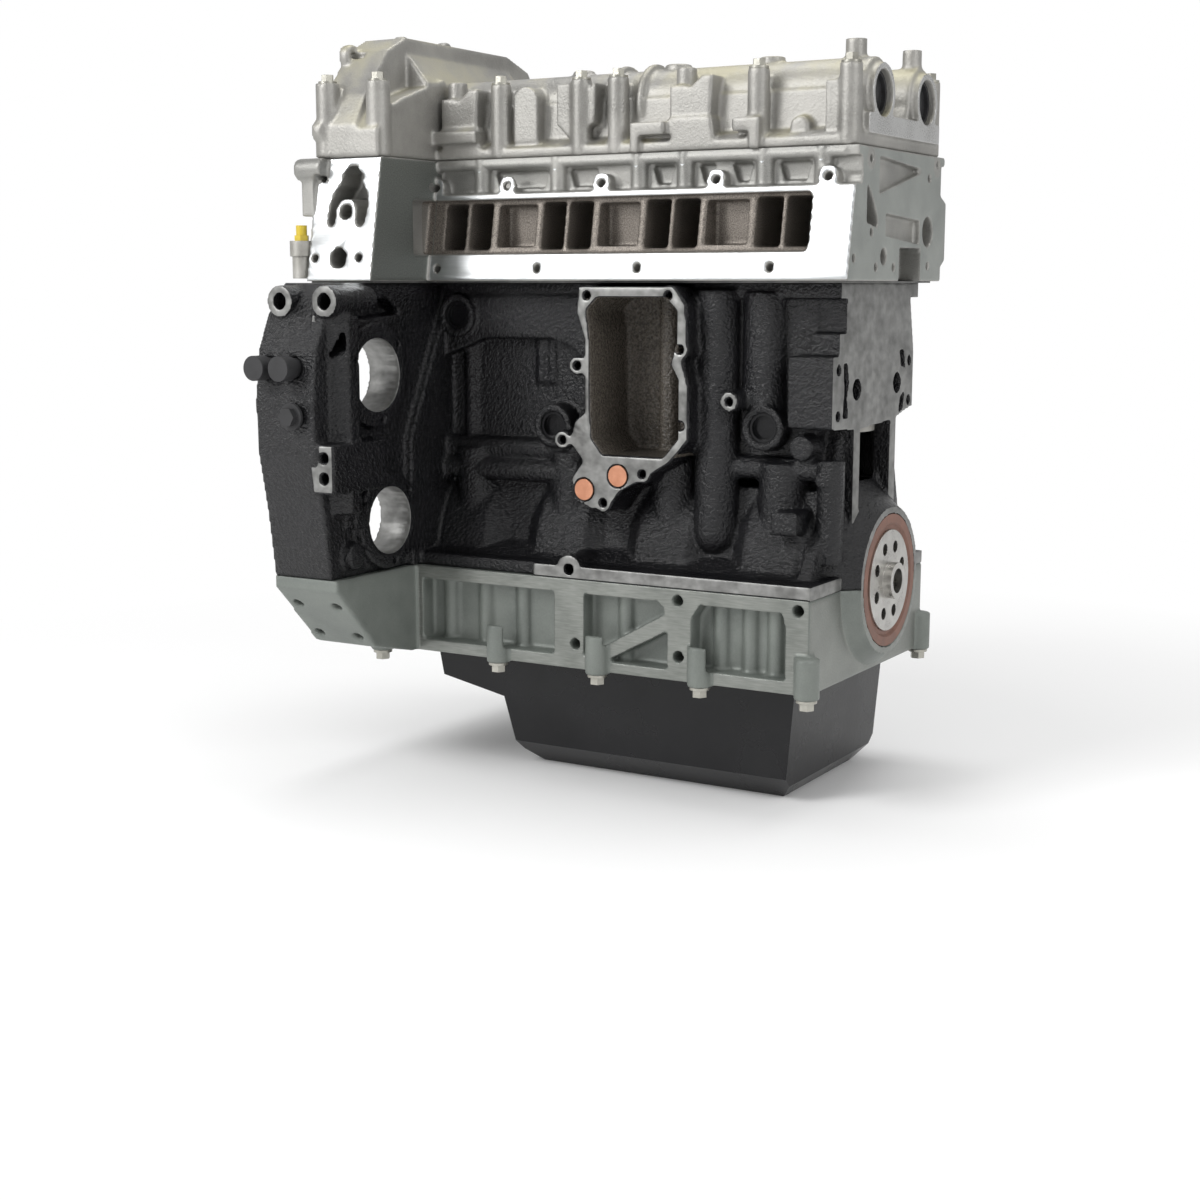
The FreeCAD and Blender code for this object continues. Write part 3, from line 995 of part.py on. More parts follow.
def sprockets():
    crank_teeth = int(s.crankTeeth)
    shape = sprocket_shape(crank_teeth, s.noseRadius, 17.8, 9, 0)
    piece("crank_sprocket", feature(shape))
    for name, side in (("intake_cam_sprocket", -1), ("exhaust_cam_sprocket", 1)):
        shape = sprocket_shape(2 * crank_teeth, 9, 18, 13, 0)
        windows = []
        for number in range(5):
            angle = 2 * math.pi * number / 5
            windows.append(Part.makeCylinder(7.5, 40, Vector(-s.chainPlane - 20, 29 * math.sin(angle),
                                                             29 * math.cos(angle)), Vector(1, 0, 0)))
        shape = shape.cut(Part.makeCompound(windows))
        item = feature(shape)
        item.Placement.Base = Vector(0, side * s.camSpread, s.camHeight)
        bolt_head = hex_bar("x", "-chainPlane - 14", f"{side} * camSpread", "camHeight", 16, 8)
        washer = rod("x", "-chainPlane - toothWidth / 2 - 3.8", f"{side} * camSpread", "camHeight", 14, 3.8)
        shank = rod("x", "-chainPlane - 6", f"{side} * camSpread", "camHeight", 6, 24)
        piece(name, group([item, fuse([bolt_head, washer, shank])]))


# Cylinder by cylinder, how far each lobe's nose stands from its tappet at rest, in degrees.
INTAKE_NOSES = (180, -90, 90, 0)
EXHAUST_NOSES = (-90, 0, 180, 90)


def lobe(x, y, angle):
    # Base circle and nose joined by their tangents; the angle is from straight down.
    angle = math.radians(angle)
    away = (math.sin(angle), -math.cos(angle))
    nose = (away[0] * s.camReach, away[1] * s.camReach)
    spread = math.acos((s.camBase - s.camNose) / s.camReach)
    heading = math.atan2(away[1], away[0])

    def on(centre, radius, direction):
        return Vector(0, centre[0] + radius * math.cos(direction), centre[1] + radius * math.sin(direction))

    left = heading + spread
    right = heading - spread
    back = heading + math.pi
    wire = Part.Wire([
        Part.Arc(on((0, 0), s.camBase, left), on((0, 0), s.camBase, back), on((0, 0), s.camBase, right)).toShape(),
        Part.LineSegment(on((0, 0), s.camBase, right), on(nose, s.camNose, right)).toShape(),
        Part.Arc(on(nose, s.camNose, right), on(nose, s.camNose, heading), on(nose, s.camNose, left)).toShape(),
        Part.LineSegment(on(nose, s.camNose, left), on((0, 0), s.camBase, left)).toShape()])
    shape = Part.Face(wire).extrude(Vector(s.lobeWidth, 0, 0))
    shape.translate(Vector(x - s.lobeWidth / 2, y, s.camHeight))
    return shape


def camshafts():
    for name, side, noses in (("intake_camshaft", -1, INTAKE_NOSES), ("exhaust_camshaft", 1, EXHAUST_NOSES)):
        y = side * s.camSpread
        end = s.chainPlane - s.toothWidth / 2
        shaft = Part.makeCylinder(s.camShaft, end - 14 - 11, Vector(-end + 11, y, s.camHeight), Vector(1, 0, 0))
        stub = Part.makeCylinder(9 - 0.02, 13.2, Vector(-end, y, s.camHeight), Vector(1, 0, 0))
        parts = [stub]
        for number in range(5):
            middle = -s.firstBore + (0.5 - number) * s.boreSpacing
            start = middle - 11 if number else middle - 11
            width = 22 if number else -14 - start
            parts.append(Part.makeCylinder(s.camJournal, width, Vector(start, y, s.camHeight), Vector(1, 0, 0)))
        # A valve on this side leans out from the deck, so its tappet lies below and inward of the cam.
        inward = -side * s.valveTilt
        for number in CYLINDERS:
            for pair in (-1, 1):
                x = -s.firstBore - number * s.boreSpacing + pair * s.valveSpacing / 2
                parts.append(lobe(x, y, inward + noses[number]))
        shape = shaft.fuse(parts)
        shape = shape.cut(Part.makeCylinder(6.2, 30, Vector(-end - 5, y, s.camHeight), Vector(1, 0, 0)))
        piece(name, feature(shape.removeSplitter()))


def held_open(way, number):
    noses = INTAKE_NOSES if way == "intake" else EXHAUST_NOSES
    return noses[number] == 0


def valve_set(way, number):
    # Two valves with their bucket tappets, on the valves' own axes.
    head = "intakeHead" if way == "intake" else "exhaustHead"
    sign = -1 if way == "intake" else 1
    opened = "camReach + camNose - camBase" if held_open(way, number) else "0"
    items = []
    for pair in (-1, 1):
        x = f"{bore_x(number)} + {pair} * valveSpacing / 2"
        seat = f"({SEAT_DISTANCE} + {opened})"
        top = f"({TAPPET_TOP} + {opened})"
        # Heights are measured up from the valve face.
        length = f"({SEAT_DISTANCE} - {TAPPET_TOP} - 4)"
        valve = turned([("0", "0"), (head, "0"), (head, "1.5"), (f"{head} - 3.5", "5"), ("stemRadius + 2.5", "10"),
                        ("stemRadius", "22"), ("stemRadius", length), ("0", length)])
        cup = turned([("0", f"{length} + 4"), ("tappetRadius", f"{length} + 4"),
                      ("tappetRadius", f"{length} + 4 - tappetHeight"),
                      ("tappetRadius - 2", f"{length} + 4 - tappetHeight"), ("tappetRadius - 2", length),
                      ("0", length)])
        for body in (valve, cup):
            body.Placement = FreeCAD.Placement(Vector(), FreeCAD.Rotation(Vector(-sign, 0, 0), s.valveTilt))
            bind(body, Placement_Rotation_Angle="valveTilt")
            place(body, x, f"{sign} * (camSpread - {seat} * sin(valveTilt))",
                  f"camHeight - {seat} * cos(valveTilt)")
            items.append(body)
    piece(f"{way}_valves_{number + 1}", group(items))


def valve_springs(way):
    springs = []
    for number in CYLINDERS:
        opened = "camReach + camNose - camBase" if held_open(way, number) else "0"
        for pair in (-1, 1):
            x = f"{bore_x(number)} + {pair} * valveSpacing / 2"
            start = f"{TAPPET_TOP} + 4 + {opened}"
            springs.append(cut(rod_to_cam(way, x, start, 76, "tappetRadius - 3"),
                               [rod_to_cam(way, x, 5, 80, "stemRadius + 5")]))
    piece(f"{way}_valve_springs", group(springs))


def piston(number):
    pin = "outerPinZ" if PIN_SIDE[number] > 0 else "innerPinZ"
    x = bore_x(number)
    radius = "boreRadius - skirtGap"
    crown = "53"
    profile = [("0", "-30"), (radius, "-30")]
    for low in (30, 37, 44):
        profile += [(radius, str(low)), (f"{radius} - 4", str(low)), (f"{radius} - 4", f"{low} + 2.5"),
                    (radius, f"{low} + 2.5")]
    profile += [(radius, crown), ("27", crown), ("24", "40"), ("10", "41"), ("4", "45"), ("0", "45")]
    blank = turned(profile, "z", x, 0, pin)
    hollow = [box((f"{x} - 18", f"{x} + 18"), (-38, 38), (f"{pin} - 31", f"{pin} + 22")),
              rod("z", x, 0, f"{pin} - 31", 41, 13),
              rod("x", f"{x} - 60", 0, pin, 16, 120)]
    skirt = cut(blank, hollow)
    rings = []
    for low in (30, 37, 44):
        ring = rod("z", x, 0, f"{pin} + {low} + 0.05", "boreRadius - 0.02", 2.4)
        rings.append(cut(ring, [rod("z", x, 0, f"{pin} + {low} - 1", "boreRadius - 3.9", 5)]))
    wrist_pin = cut(rod("x", f"{x} - 37", 0, pin, 16, 74), [rod("x", f"{x} - 38", 0, pin, 8, 76)])
    piece(f"piston_{number + 1}", group([skirt, *rings, wrist_pin]))


def connecting_rod(number):
    pin = s.outerPinZ if PIN_SIDE[number] > 0 else s.innerPinZ
    x = -s.firstBore - number * s.boreSpacing
    eye = s.pinRadius + s.bigEndSlack
    shell = eye + s.rodShellThick
    outer = shell + 9
    width = 33
    axis = Vector(1, 0, 0)

    def bar(radius, z, wide=width):
        return Part.makeCylinder(radius, wide, Vector(-wide / 2, 0, z), axis)

    # Drawn hanging straight down from the wrist pin, then leaned.
    far = -s.rodLength
    beam = Part.Face(Part.makePolygon([Vector(-8, -13, -10), Vector(-8, 13, -10), Vector(-8, 20, far + 30),
                                       Vector(-8, -20, far + 30), Vector(-8, -13, -10)])).extrude(Vector(16, 0, 0))
    shoulders = Part.makeBox(width, 2 * (outer + 2), 16, Vector(-width / 2, -outer - 2, far))
    upper = bar(21, 0, 31).fuse([beam, bar(outer, far), shoulders])
    upper = upper.cut(Part.makeBox(200, 200, 200, Vector(-100, -100, far - 200)))
    upper = upper.cut(bar(16 + s.runningGap, 0, 60).fuse(bar(shell, far, 60)))
    cap = bar(outer, far).fuse(Part.makeBox(width, 2 * (outer + 2), 16, Vector(-width / 2, -outer - 2, far - 16)))
    cap = cap.fuse([Part.makeCylinder(5, 10, Vector(0, side * (outer - 4), far - 22)) for side in (-1, 1)])
    cap = cap.cut(Part.makeBox(200, 200, 200, Vector(-100, -100, far)))
    cap = cap.cut(bar(shell, far, 60))
    ring = bar(shell, far, 26).cut(bar(eye, far, 60))
    lower_room = Part.makeBox(200, 200, 200, Vector(-100, -100, far - 200))
    shells = [ring.common(lower_room), ring.cut(lower_room)]
    shape = Part.makeCompound([upper.removeSplitter(), cap.removeSplitter(), *shells])
    item = feature(shape)
    lean = s.rodTilt * PIN_SIDE[number]
    item.Placement = FreeCAD.Placement(Vector(x, 0, pin), FreeCAD.Rotation(axis, lean))
    piece(f"connecting_rod_{number + 1}", item)


def chain_guides():
    # The fixed guide stands on the exhaust side of the chain, the tensioner's arm on the other.
    stretches = belt_path(chain_circles())
    crank_circle, cam_circle = chain_circles()[0], chain_circles()[1]
    leave = stretches[0][3]
    outward = Vector(0, math.cos(leave), math.sin(leave))
    start = Vector(0, crank_circle[0], crank_circle[1]) + outward * crank_circle[2]
    end = Vector(0, cam_circle[0], cam_circle[1]) + outward * cam_circle[2]
    run = end - start
    along = Vector(run)
    along.normalize()
    gap = 2.7 + s.faceGap
    low = start + along * 60
    high = start + along * (run.Length - 70)

    def strip(side, name_low, name_high, thick):
        # side mirrors the strip to the other run of the chain.
        corners = []
        for point, depth in ((name_low, 0), (name_high, 0), (name_high, thick), (name_low, thick)):
            place_here = point + outward * (gap + depth)
            corners.append(Vector(-s.chainPlane - s.chainWidth / 2 + 1, side * place_here.y, place_here.z))
        return Part.Face(Part.makePolygon(corners + [corners[0]])).extrude(Vector(s.chainWidth - 2, 0, 0))

    fixed = strip(1, low, high, 9)
    lugs = []
    for share in (0.12, 0.88):
        point = low + (high - low) * share + outward * (gap + 7)
        lugs.append(Part.makeCylinder(7, s.chainPlane + s.chainWidth / 2 - 1 - s.rearWall,
                                      Vector(-s.chainPlane - s.chainWidth / 2 + 1, point.y, point.z),
                                      Vector(1, 0, 0)))
    piece("chain_guide", feature(fixed.fuse(lugs).removeSplitter()))
    arm = strip(-1, low, high, 9)
    pivot = high + outward * (gap + 9.4)
    eye = Part.makeCylinder(9, s.chainWidth - 2, Vector(-s.chainPlane - s.chainWidth / 2 + 1, -pivot.y, pivot.z),
                            Vector(1, 0, 0))
    hole = Part.makeCylinder(5.05, 40, Vector(-s.chainPlane - 20, -pivot.y, pivot.z), Vector(1, 0, 0))
    piece("tensioner_arm", feature(arm.fuse(eye).cut(hole).removeSplitter()))
    pin = Part.makeCylinder(5, s.chainPlane + s.chainWidth / 2 - s.rearWall,
                            Vector(-s.chainPlane - s.chainWidth / 2, -pivot.y, pivot.z), Vector(1, 0, 0))
    piece("tensioner_pivot", feature(pin))
    # The plunger presses on the arm's back a third of the way up.
    push = low + (high - low) * 0.25 + outward * (gap + 9)
    nose = Vector(-s.chainPlane, -push.y - 2.4 * s.faceGap, push.z)
    plunger = Part.makeCylinder(6, 30, nose - Vector(0, 34, 0), Vector(0, 1, 0))
    plunger = plunger.fuse(Part.makeCone(6, 2, 4, nose - Vector(0, 4, 0), Vector(0, 1, 0)))
    piece("tensioner_plunger", feature(plunger))
    body = Part.makeBox(s.chainPlane + 11 - s.rearWall, 36, 26,
                        Vector(-s.chainPlane - 11, nose.y - 48, nose.z - 13))
    room = Part.makeCylinder(6.05, 40, nose - Vector(0, 43, 0), Vector(0, 1, 0))
    piece("tensioner_body", feature(body.cut(room)))
    print("tensioner pivot", pivot, "plunger tip", nose)


def oil_parts():
    pump = turned([("noseRadius + 0.4", "0"), ("50", "0"), ("50", "10"), ("noseRadius + 0.4", "10")],
                  "x", "-rearWall - 10.2", 0, 0)
    piece("oil_pump", pump)
    middle = wall_x(2)
    tube = rod("z", middle, 0, "-panBottom + 22", 9, "panBottom - bedplateDepth - 22")
    foot = turned([("0", "0"), ("34", "0"), ("34", "4"), ("9", "16"), ("0", "16")], "z", middle, 0,
                  "-panBottom + 8")
    piece("oil_pickup", fuse([tube, foot]))


def coolant_parts():
    elbow = fuse([rod("z", "-rearRim - 12", -198, f"{DECK} + 4", 9, 26), rod("z", "-rearRim - 12", -198, 288, 11, 14),
                  rod("x", "-rearRim - 12", -193, 295, 7, 12)])
    piece("coolant_elbow", elbow)
    sensor = fuse([hex_bar("z", "-rearRim - 12", -198, 302, 12, 5), rod("z", "-rearRim - 12", -198, 307, 5, 9)])
    piece("coolant_sensor", sensor)


engine_block()
bedplate()
bedplate_bolts()
oil_pan()
cylinder_head()
head_gasket()
cam_carrier()
carrier_bolts()
seals_and_plugs()
main_bearing_shells()
crankshaft()
sprockets()
timing_chain()
camshafts()
for number in CYLINDERS:
    piston(number)
    connecting_rod(number)
    valve_set("intake", number)
    valve_set("exhaust", number)
valve_springs("intake")
valve_springs("exhaust")
chain_guides()
oil_parts()
coolant_parts()
doc.recompute()

for item in doc.Objects:
    troubled = [word for word in item.State if word in ("Invalid", "Error")]
    if troubled:
        raise RuntimeError(f"{item.Name} ({item.Label}) is {troubled}")
for name, item in pieces.items():
    if item.Shape.isNull() or not item.Shape.isValid():
        raise RuntimeError(f"{name} has no valid shape")

os.makedirs("parts", exist_ok=True)
for name, item in pieces.items():
    item.Shape.exportStep(f"parts/{name}.step")
    print(f"{name}: {len(item.Shape.Solids)} solids, {item.Shape.Volume / 1000:.1f} cm3")
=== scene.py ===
import json
import math

import bpy
import numpy as np
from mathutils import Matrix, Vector

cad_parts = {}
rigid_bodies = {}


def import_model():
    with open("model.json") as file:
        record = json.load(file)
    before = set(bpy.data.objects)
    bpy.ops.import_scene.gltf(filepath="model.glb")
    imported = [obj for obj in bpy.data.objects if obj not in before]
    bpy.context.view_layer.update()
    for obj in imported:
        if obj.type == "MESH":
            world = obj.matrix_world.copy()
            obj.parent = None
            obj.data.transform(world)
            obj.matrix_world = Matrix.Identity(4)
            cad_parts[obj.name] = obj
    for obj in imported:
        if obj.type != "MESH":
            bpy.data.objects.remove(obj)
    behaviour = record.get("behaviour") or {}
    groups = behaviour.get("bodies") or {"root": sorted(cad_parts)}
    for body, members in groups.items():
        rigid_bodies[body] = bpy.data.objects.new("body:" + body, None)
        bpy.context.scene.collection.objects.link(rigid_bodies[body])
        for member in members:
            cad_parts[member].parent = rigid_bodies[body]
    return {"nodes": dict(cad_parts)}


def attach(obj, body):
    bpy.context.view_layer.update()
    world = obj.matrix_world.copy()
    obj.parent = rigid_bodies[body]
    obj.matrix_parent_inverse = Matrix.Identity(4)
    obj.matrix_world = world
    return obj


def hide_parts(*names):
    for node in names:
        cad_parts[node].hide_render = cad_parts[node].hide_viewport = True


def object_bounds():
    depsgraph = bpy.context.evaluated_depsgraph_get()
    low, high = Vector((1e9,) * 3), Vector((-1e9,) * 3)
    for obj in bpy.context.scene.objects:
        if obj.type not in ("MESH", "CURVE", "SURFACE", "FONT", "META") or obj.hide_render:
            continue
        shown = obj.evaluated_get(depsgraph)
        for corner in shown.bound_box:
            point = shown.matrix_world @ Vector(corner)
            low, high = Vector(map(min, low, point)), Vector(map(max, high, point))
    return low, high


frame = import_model()
nodes = frame["nodes"]
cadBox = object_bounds()
print("frame loaded,", len(nodes), "nodes")
for thing in bpy.data.objects:
    thing.select_set(False)


# node helpers, shared by every material

def addNode(tree, kind, inputs=None, **settings):
    node = tree.nodes.new("ShaderNode" + kind)
    for key, value in settings.items():
        setattr(node, key, value)
    for key, value in (inputs or {}).items():
        socket = node.inputs[key]
        if isinstance(value, bpy.types.NodeSocket):
            tree.links.new(value, socket)
        else:
            socket.default_value = value
    return node


def math1(tree, operation, first, second=0.0):
    return addNode(tree, "Math", {0: first, 1: second}, operation=operation).outputs[0]


def blendColour(tree, factor, first, second):
    return addNode(tree, "Mix", {0: factor, 6: first, 7: second}, data_type="RGBA").outputs[2]


def blendValue(tree, factor, first, second):
    return addNode(tree, "Mix", {0: factor, 2: first, 3: second}).outputs[0]


def ramp(tree, value, low, high, start=0.0, end=1.0):
    node = addNode(tree, "MapRange", {0: value, 1: low, 2: high, 3: start, 4: end})
    return node.outputs[0]


def startGroup(name, takes, gives):
    tree = bpy.data.node_groups.new(name, "ShaderNodeTree")
    for label, kind, value in takes:
        socket = tree.interface.new_socket(label, in_out="INPUT", socket_type="NodeSocket" + kind)
        socket.default_value = value
    for label, kind in gives:
        tree.interface.new_socket(label, in_out="OUTPUT", socket_type="NodeSocket" + kind)
    return tree, tree.nodes.new("NodeGroupInput"), tree.nodes.new("NodeGroupOutput")


def vectorMath(tree, operation, first, second=None):
    inputs = {0: first} if second is None else {0: first, 1: second}
    return addNode(tree, "VectorMath", inputs, operation=operation).outputs


def objectPlace(tree):
    return addNode(tree, "TexCoord").outputs["Object"]


def fillGroup(tree, group, inputs):
    node = tree.nodes.new("ShaderNodeGroup")
    node.node_tree = group
    for key, value in inputs.items():
        if isinstance(value, bpy.types.NodeSocket):
            tree.links.new(value, node.inputs[key])
        else:
            node.inputs[key].default_value = value
    return node


# shared effects

castGrain = {
    "detail": 3.0, "roughness": 0.55, "slowDetail": 4.0, "slowRoughness": 0.6,
    # pits' scale beside the grain's, and what each adds to the height
    "pitScale": 0.55, "fineShare": 0.6, "pitShare": 0.5,
}
millGrain = {"stretch": (60, 900, 900), "detail": 2.0, "smearScale": 30.0, "smearDetail": 3.0, "share": 0.5}
# metres off a plane or bore, the cosine that still counts as facing it, and a box's soft edge
maskLimits = {"plane": 0.0004, "bore": 0.0005, "facing": 0.93, "boxEdge": 0.0004}


def makeCastSkin():
    # sand-cast surface: fine grit, shallow pits and a slow change of tone
    tree, takes, gives = startGroup("castSkin", [("Grain", "Float", 700), ("Blotch", "Float", 22)],
                                    [("Tone", "Float"), ("Grit", "Float"), ("Height", "Float")])
    place = objectPlace(tree)
    fine = addNode(tree, "TexNoise", {"Vector": place, "Scale": takes.outputs["Grain"],
                                      "Detail": castGrain["detail"], "Roughness": castGrain["roughness"]})
    pitScale = math1(tree, "MULTIPLY", takes.outputs["Grain"], castGrain["pitScale"])
    pits = addNode(tree, "TexVoronoi", {"Vector": place, "Scale": pitScale}, feature="SMOOTH_F1")
    slow = addNode(tree, "TexNoise", {"Vector": place, "Scale": takes.outputs["Blotch"],
                                      "Detail": castGrain["slowDetail"],
                                      "Roughness": castGrain["slowRoughness"]})
    height = math1(tree, "ADD", math1(tree, "MULTIPLY", fine.outputs["Fac"], castGrain["fineShare"]),
                   math1(tree, "MULTIPLY", pits.outputs["Distance"], castGrain["pitShare"]))
    tree.links.new(slow.outputs["Fac"], gives.inputs["Tone"])
    tree.links.new(fine.outputs["Fac"], gives.inputs["Grit"])
    tree.links.new(height, gives.inputs["Height"])
    return tree


def makeFlatMask():
    # one on the faces that lie in a plane, and look its way
    tree, takes, gives = startGroup("flatMask", [("Direction", "Vector", (0, 0, 1)), ("Distance", "Float", 0)],
                                    [("Mask", "Float")])
    coords = addNode(tree, "TexCoord")
    along = vectorMath(tree, "DOT_PRODUCT", coords.outputs["Object"], takes.outputs["Direction"])["Value"]
    off = math1(tree, "ABSOLUTE", math1(tree, "SUBTRACT", along, takes.outputs["Distance"]))
    near = math1(tree, "LESS_THAN", off, maskLimits["plane"])
    facing = vectorMath(tree, "DOT_PRODUCT", coords.outputs["Normal"], takes.outputs["Direction"])["Value"]
    faces = math1(tree, "GREATER_THAN", facing, maskLimits["facing"])
    tree.links.new(math1(tree, "MULTIPLY", near, faces), gives.inputs["Mask"])
    return tree


def makeRoundMask():
    # one on the wall of a bore about an axis
    asked = [("Centre", "Vector", (0, 0, 0)), ("Axis", "Vector", (1, 0, 0)), ("Radius", "Float", 0.01)]
    tree, takes, gives = startGroup("roundMask", asked, [("Mask", "Float"), ("Reach", "Float")])
    away = vectorMath(tree, "SUBTRACT", objectPlace(tree), takes.outputs["Centre"])["Vector"]
    side = vectorMath(tree, "CROSS_PRODUCT", away, takes.outputs["Axis"])["Vector"]
    reach = vectorMath(tree, "LENGTH", side)["Value"]
    off = math1(tree, "ABSOLUTE", math1(tree, "SUBTRACT", reach, takes.outputs["Radius"]))
    tree.links.new(math1(tree, "LESS_THAN", off, maskLimits["bore"]), gives.inputs["Mask"])
    tree.links.new(reach, gives.inputs["Reach"])
    return tree


def makeBoxMask():
    # one inside an upright box, fading over a soft edge
    tree, takes, gives = startGroup("boxMask", [("Low", "Vector", (0, 0, 0)), ("High", "Vector", (1, 1, 1)),
                                                ("Soft", "Float", maskLimits["boxEdge"])], [("Mask", "Float")])
    place = addNode(tree, "SeparateXYZ", {0: objectPlace(tree)}).outputs
    low = addNode(tree, "SeparateXYZ", {0: takes.outputs["Low"]}).outputs
    high = addNode(tree, "SeparateXYZ", {0: takes.outputs["High"]}).outputs
    total = None
    for axis in range(3):
        above = math1(tree, "SUBTRACT", place[axis], low[axis])
        below = math1(tree, "SUBTRACT", high[axis], place[axis])
        inside = math1(tree, "DIVIDE", math1(tree, "MINIMUM", above, below), takes.outputs["Soft"])
        total = inside if total is None else math1(tree, "MINIMUM", total, inside)
    tree.links.new(addNode(tree, "Clamp", {0: total}).outputs[0], gives.inputs["Mask"])
    return tree


def makeMillMarks():
    # fine tool lines, stretched along one direction
    tree, takes, gives = startGroup("millMarks", [("Stretch", "Vector", millGrain["stretch"])],
                                    [("Tone", "Float"), ("Height", "Float")])
    place = vectorMath(tree, "MULTIPLY", objectPlace(tree), takes.outputs["Stretch"])["Vector"]
    lines = addNode(tree, "TexNoise", {"Vector": place, "Scale": 1.0, "Detail": millGrain["detail"]})
    smear = addNode(tree, "TexNoise", {"Vector": objectPlace(tree), "Scale": millGrain["smearScale"],
                                       "Detail": millGrain["smearDetail"]})
    tone = math1(tree, "ADD", math1(tree, "MULTIPLY", lines.outputs["Fac"], millGrain["share"]),
                 math1(tree, "MULTIPLY", smear.outputs["Fac"], millGrain["share"]))
    tree.links.new(tone, gives.inputs["Tone"])
    tree.links.new(lines.outputs["Fac"], gives.inputs["Height"])
    return tree


castSkin = makeCastSkin()
flatMask = makeFlatMask()
roundMask = makeRoundMask()
boxMask = makeBoxMask()
millMarks = makeMillMarks()
print("shared effects made")


def roomMask(tree, low, high, soft=maskLimits["boxEdge"]):
    return fillGroup(tree, boxMask, {"Low": low, "High": high, "Soft": soft}).outputs["Mask"]


def maskOf(tree, faces, bores=()):
    # the machined places of a casting, from its list of planes and bores
    total = None
    for direction, distance, *room in faces:
        one = fillGroup(tree, flatMask, {"Direction": direction, "Distance": distance}).outputs["Mask"]
        if room:
            one = math1(tree, "MULTIPLY", one, roomMask(tree, *room))
        total = one if total is None else math1(tree, "MAXIMUM", total, one)
    for centre, axis, radius in bores:
        one = fillGroup(tree, roundMask, {"Centre": centre, "Axis": axis, "Radius": radius}).outputs["Mask"]
        total = one if total is None else math1(tree, "MAXIMUM", total, one)
    return total


# the part of each noise's range that a colour or roughness runs over
spans = {
    "tone": (0.3, 0.7), "cast": (0.32, 0.68), "fleck": (0.3, 0.75), "cut": (0.35, 0.65), "room": (0.36, 0.64),
    "strawTone": (0.42, 0.6), "strawFacing": (0.15, 0.8),
}
strawStrength, millHeight, edgeSamples = 0.8, 0.06, 4


def startMaterial(name):
    material = bpy.data.materials.new(name)
    material.use_nodes = True
    return material, material.node_tree, material.node_tree.nodes["Principled BSDF"]


def finishSurface(tree, shader, look, height):
    # rounded edges, bump and shine, which every material ends with
    rounded = addNode(tree, "Bevel", {"Radius": look["edge"]}, samples=edgeSamples).outputs["Normal"]
    bump = addNode(tree, "Bump", {"Height": height, "Strength": look["bump"], "Distance": look["depth"],
                                  "Normal": rounded})
    tree.links.new(bump.outputs["Normal"], shader.inputs["Normal"])
    shader.inputs["Specular IOR Level"].default_value = look.get("shine", 0.5)


def castingMaterial(name, look):
    # a cast surface with machined places cut into it
    material, tree, shader = startMaterial(name)
    skin = fillGroup(tree, castSkin, {"Grain": look["grain"], "Blotch": look["blotch"]})
    marks = fillGroup(tree, millMarks, {"Stretch": look.get("stretch", millGrain["stretch"])})
    mask = maskOf(tree, look["faces"], look.get("bores", ()))
    tone, grit = skin.outputs["Tone"], skin.outputs["Grit"]
    cast = blendColour(tree, ramp(tree, tone, *spans["cast"]), look["dark"], look["light"])
    cast = blendColour(tree, ramp(tree, grit, *spans["fleck"], 0.0, look["speck"]), cast, look["fleck"])
    if "straw" in look:
        # chromate tint on the faces that look up
        upward = addNode(tree, "SeparateXYZ", {0: addNode(tree, "TexCoord").outputs["Normal"]}).outputs["Z"]
        tint = math1(tree, "MULTIPLY", ramp(tree, upward, *spans["strawFacing"]),
                     ramp(tree, tone, *spans["strawTone"]))
        cast = blendColour(tree, math1(tree, "MULTIPLY", tint, strawStrength), cast, look["straw"])
    if "dull" in look:
        flat = blendColour(tree, ramp(tree, tone, *spans["tone"]), *look["dullColours"])
        cast = blendColour(tree, maskOf(tree, look["dull"]), cast, flat)
    # boxed rooms: bare metal on the block, painted shade in the head's pocket and on the wall beside its intake
    # flange
    for low, high, soft, dark, light in look.get("rooms", ()):
        bareMetalAndShade = blendColour(tree, ramp(tree, grit, *spans["room"]), dark, light)
        cast = blendColour(tree, roomMask(tree, low, high, soft), cast, bareMetalAndShade)
    cut = blendColour(tree, ramp(tree, marks.outputs["Tone"], *spans["cut"]), look["cutDark"], look["cutLight"])
    tree.links.new(blendColour(tree, mask, cast, cut), shader.inputs["Base Color"])
    rough = ramp(tree, tone, *spans["tone"], *look["rough"])
    cutRough = ramp(tree, marks.outputs["Tone"], *spans["tone"], *look["cutRough"])
    tree.links.new(blendValue(tree, mask, rough, cutRough), shader.inputs["Roughness"])
    tree.links.new(blendValue(tree, mask, look["metal"], look.get("cutMetal", 1.0)), shader.inputs["Metallic"])
    lines = math1(tree, "MULTIPLY", marks.outputs["Height"], millHeight)
    height = blendValue(tree, mask, skin.outputs["Height"], lines)
    finishSurface(tree, shader, look, height)
    return material


def dress(material, *names):
    for name in names:
        slots = nodes[name].data.materials
        slots.clear()
        slots.append(material)


# engine block: black cast iron

lean = math.radians(10.2)
leanOut = (0.0, -math.cos(lean), math.sin(lean))
left, ahead, behind, up, down = (0, -1, 0), (1, 0, 0), (-1, 0, 0), (0, 0, 1), (0, 0, -1)

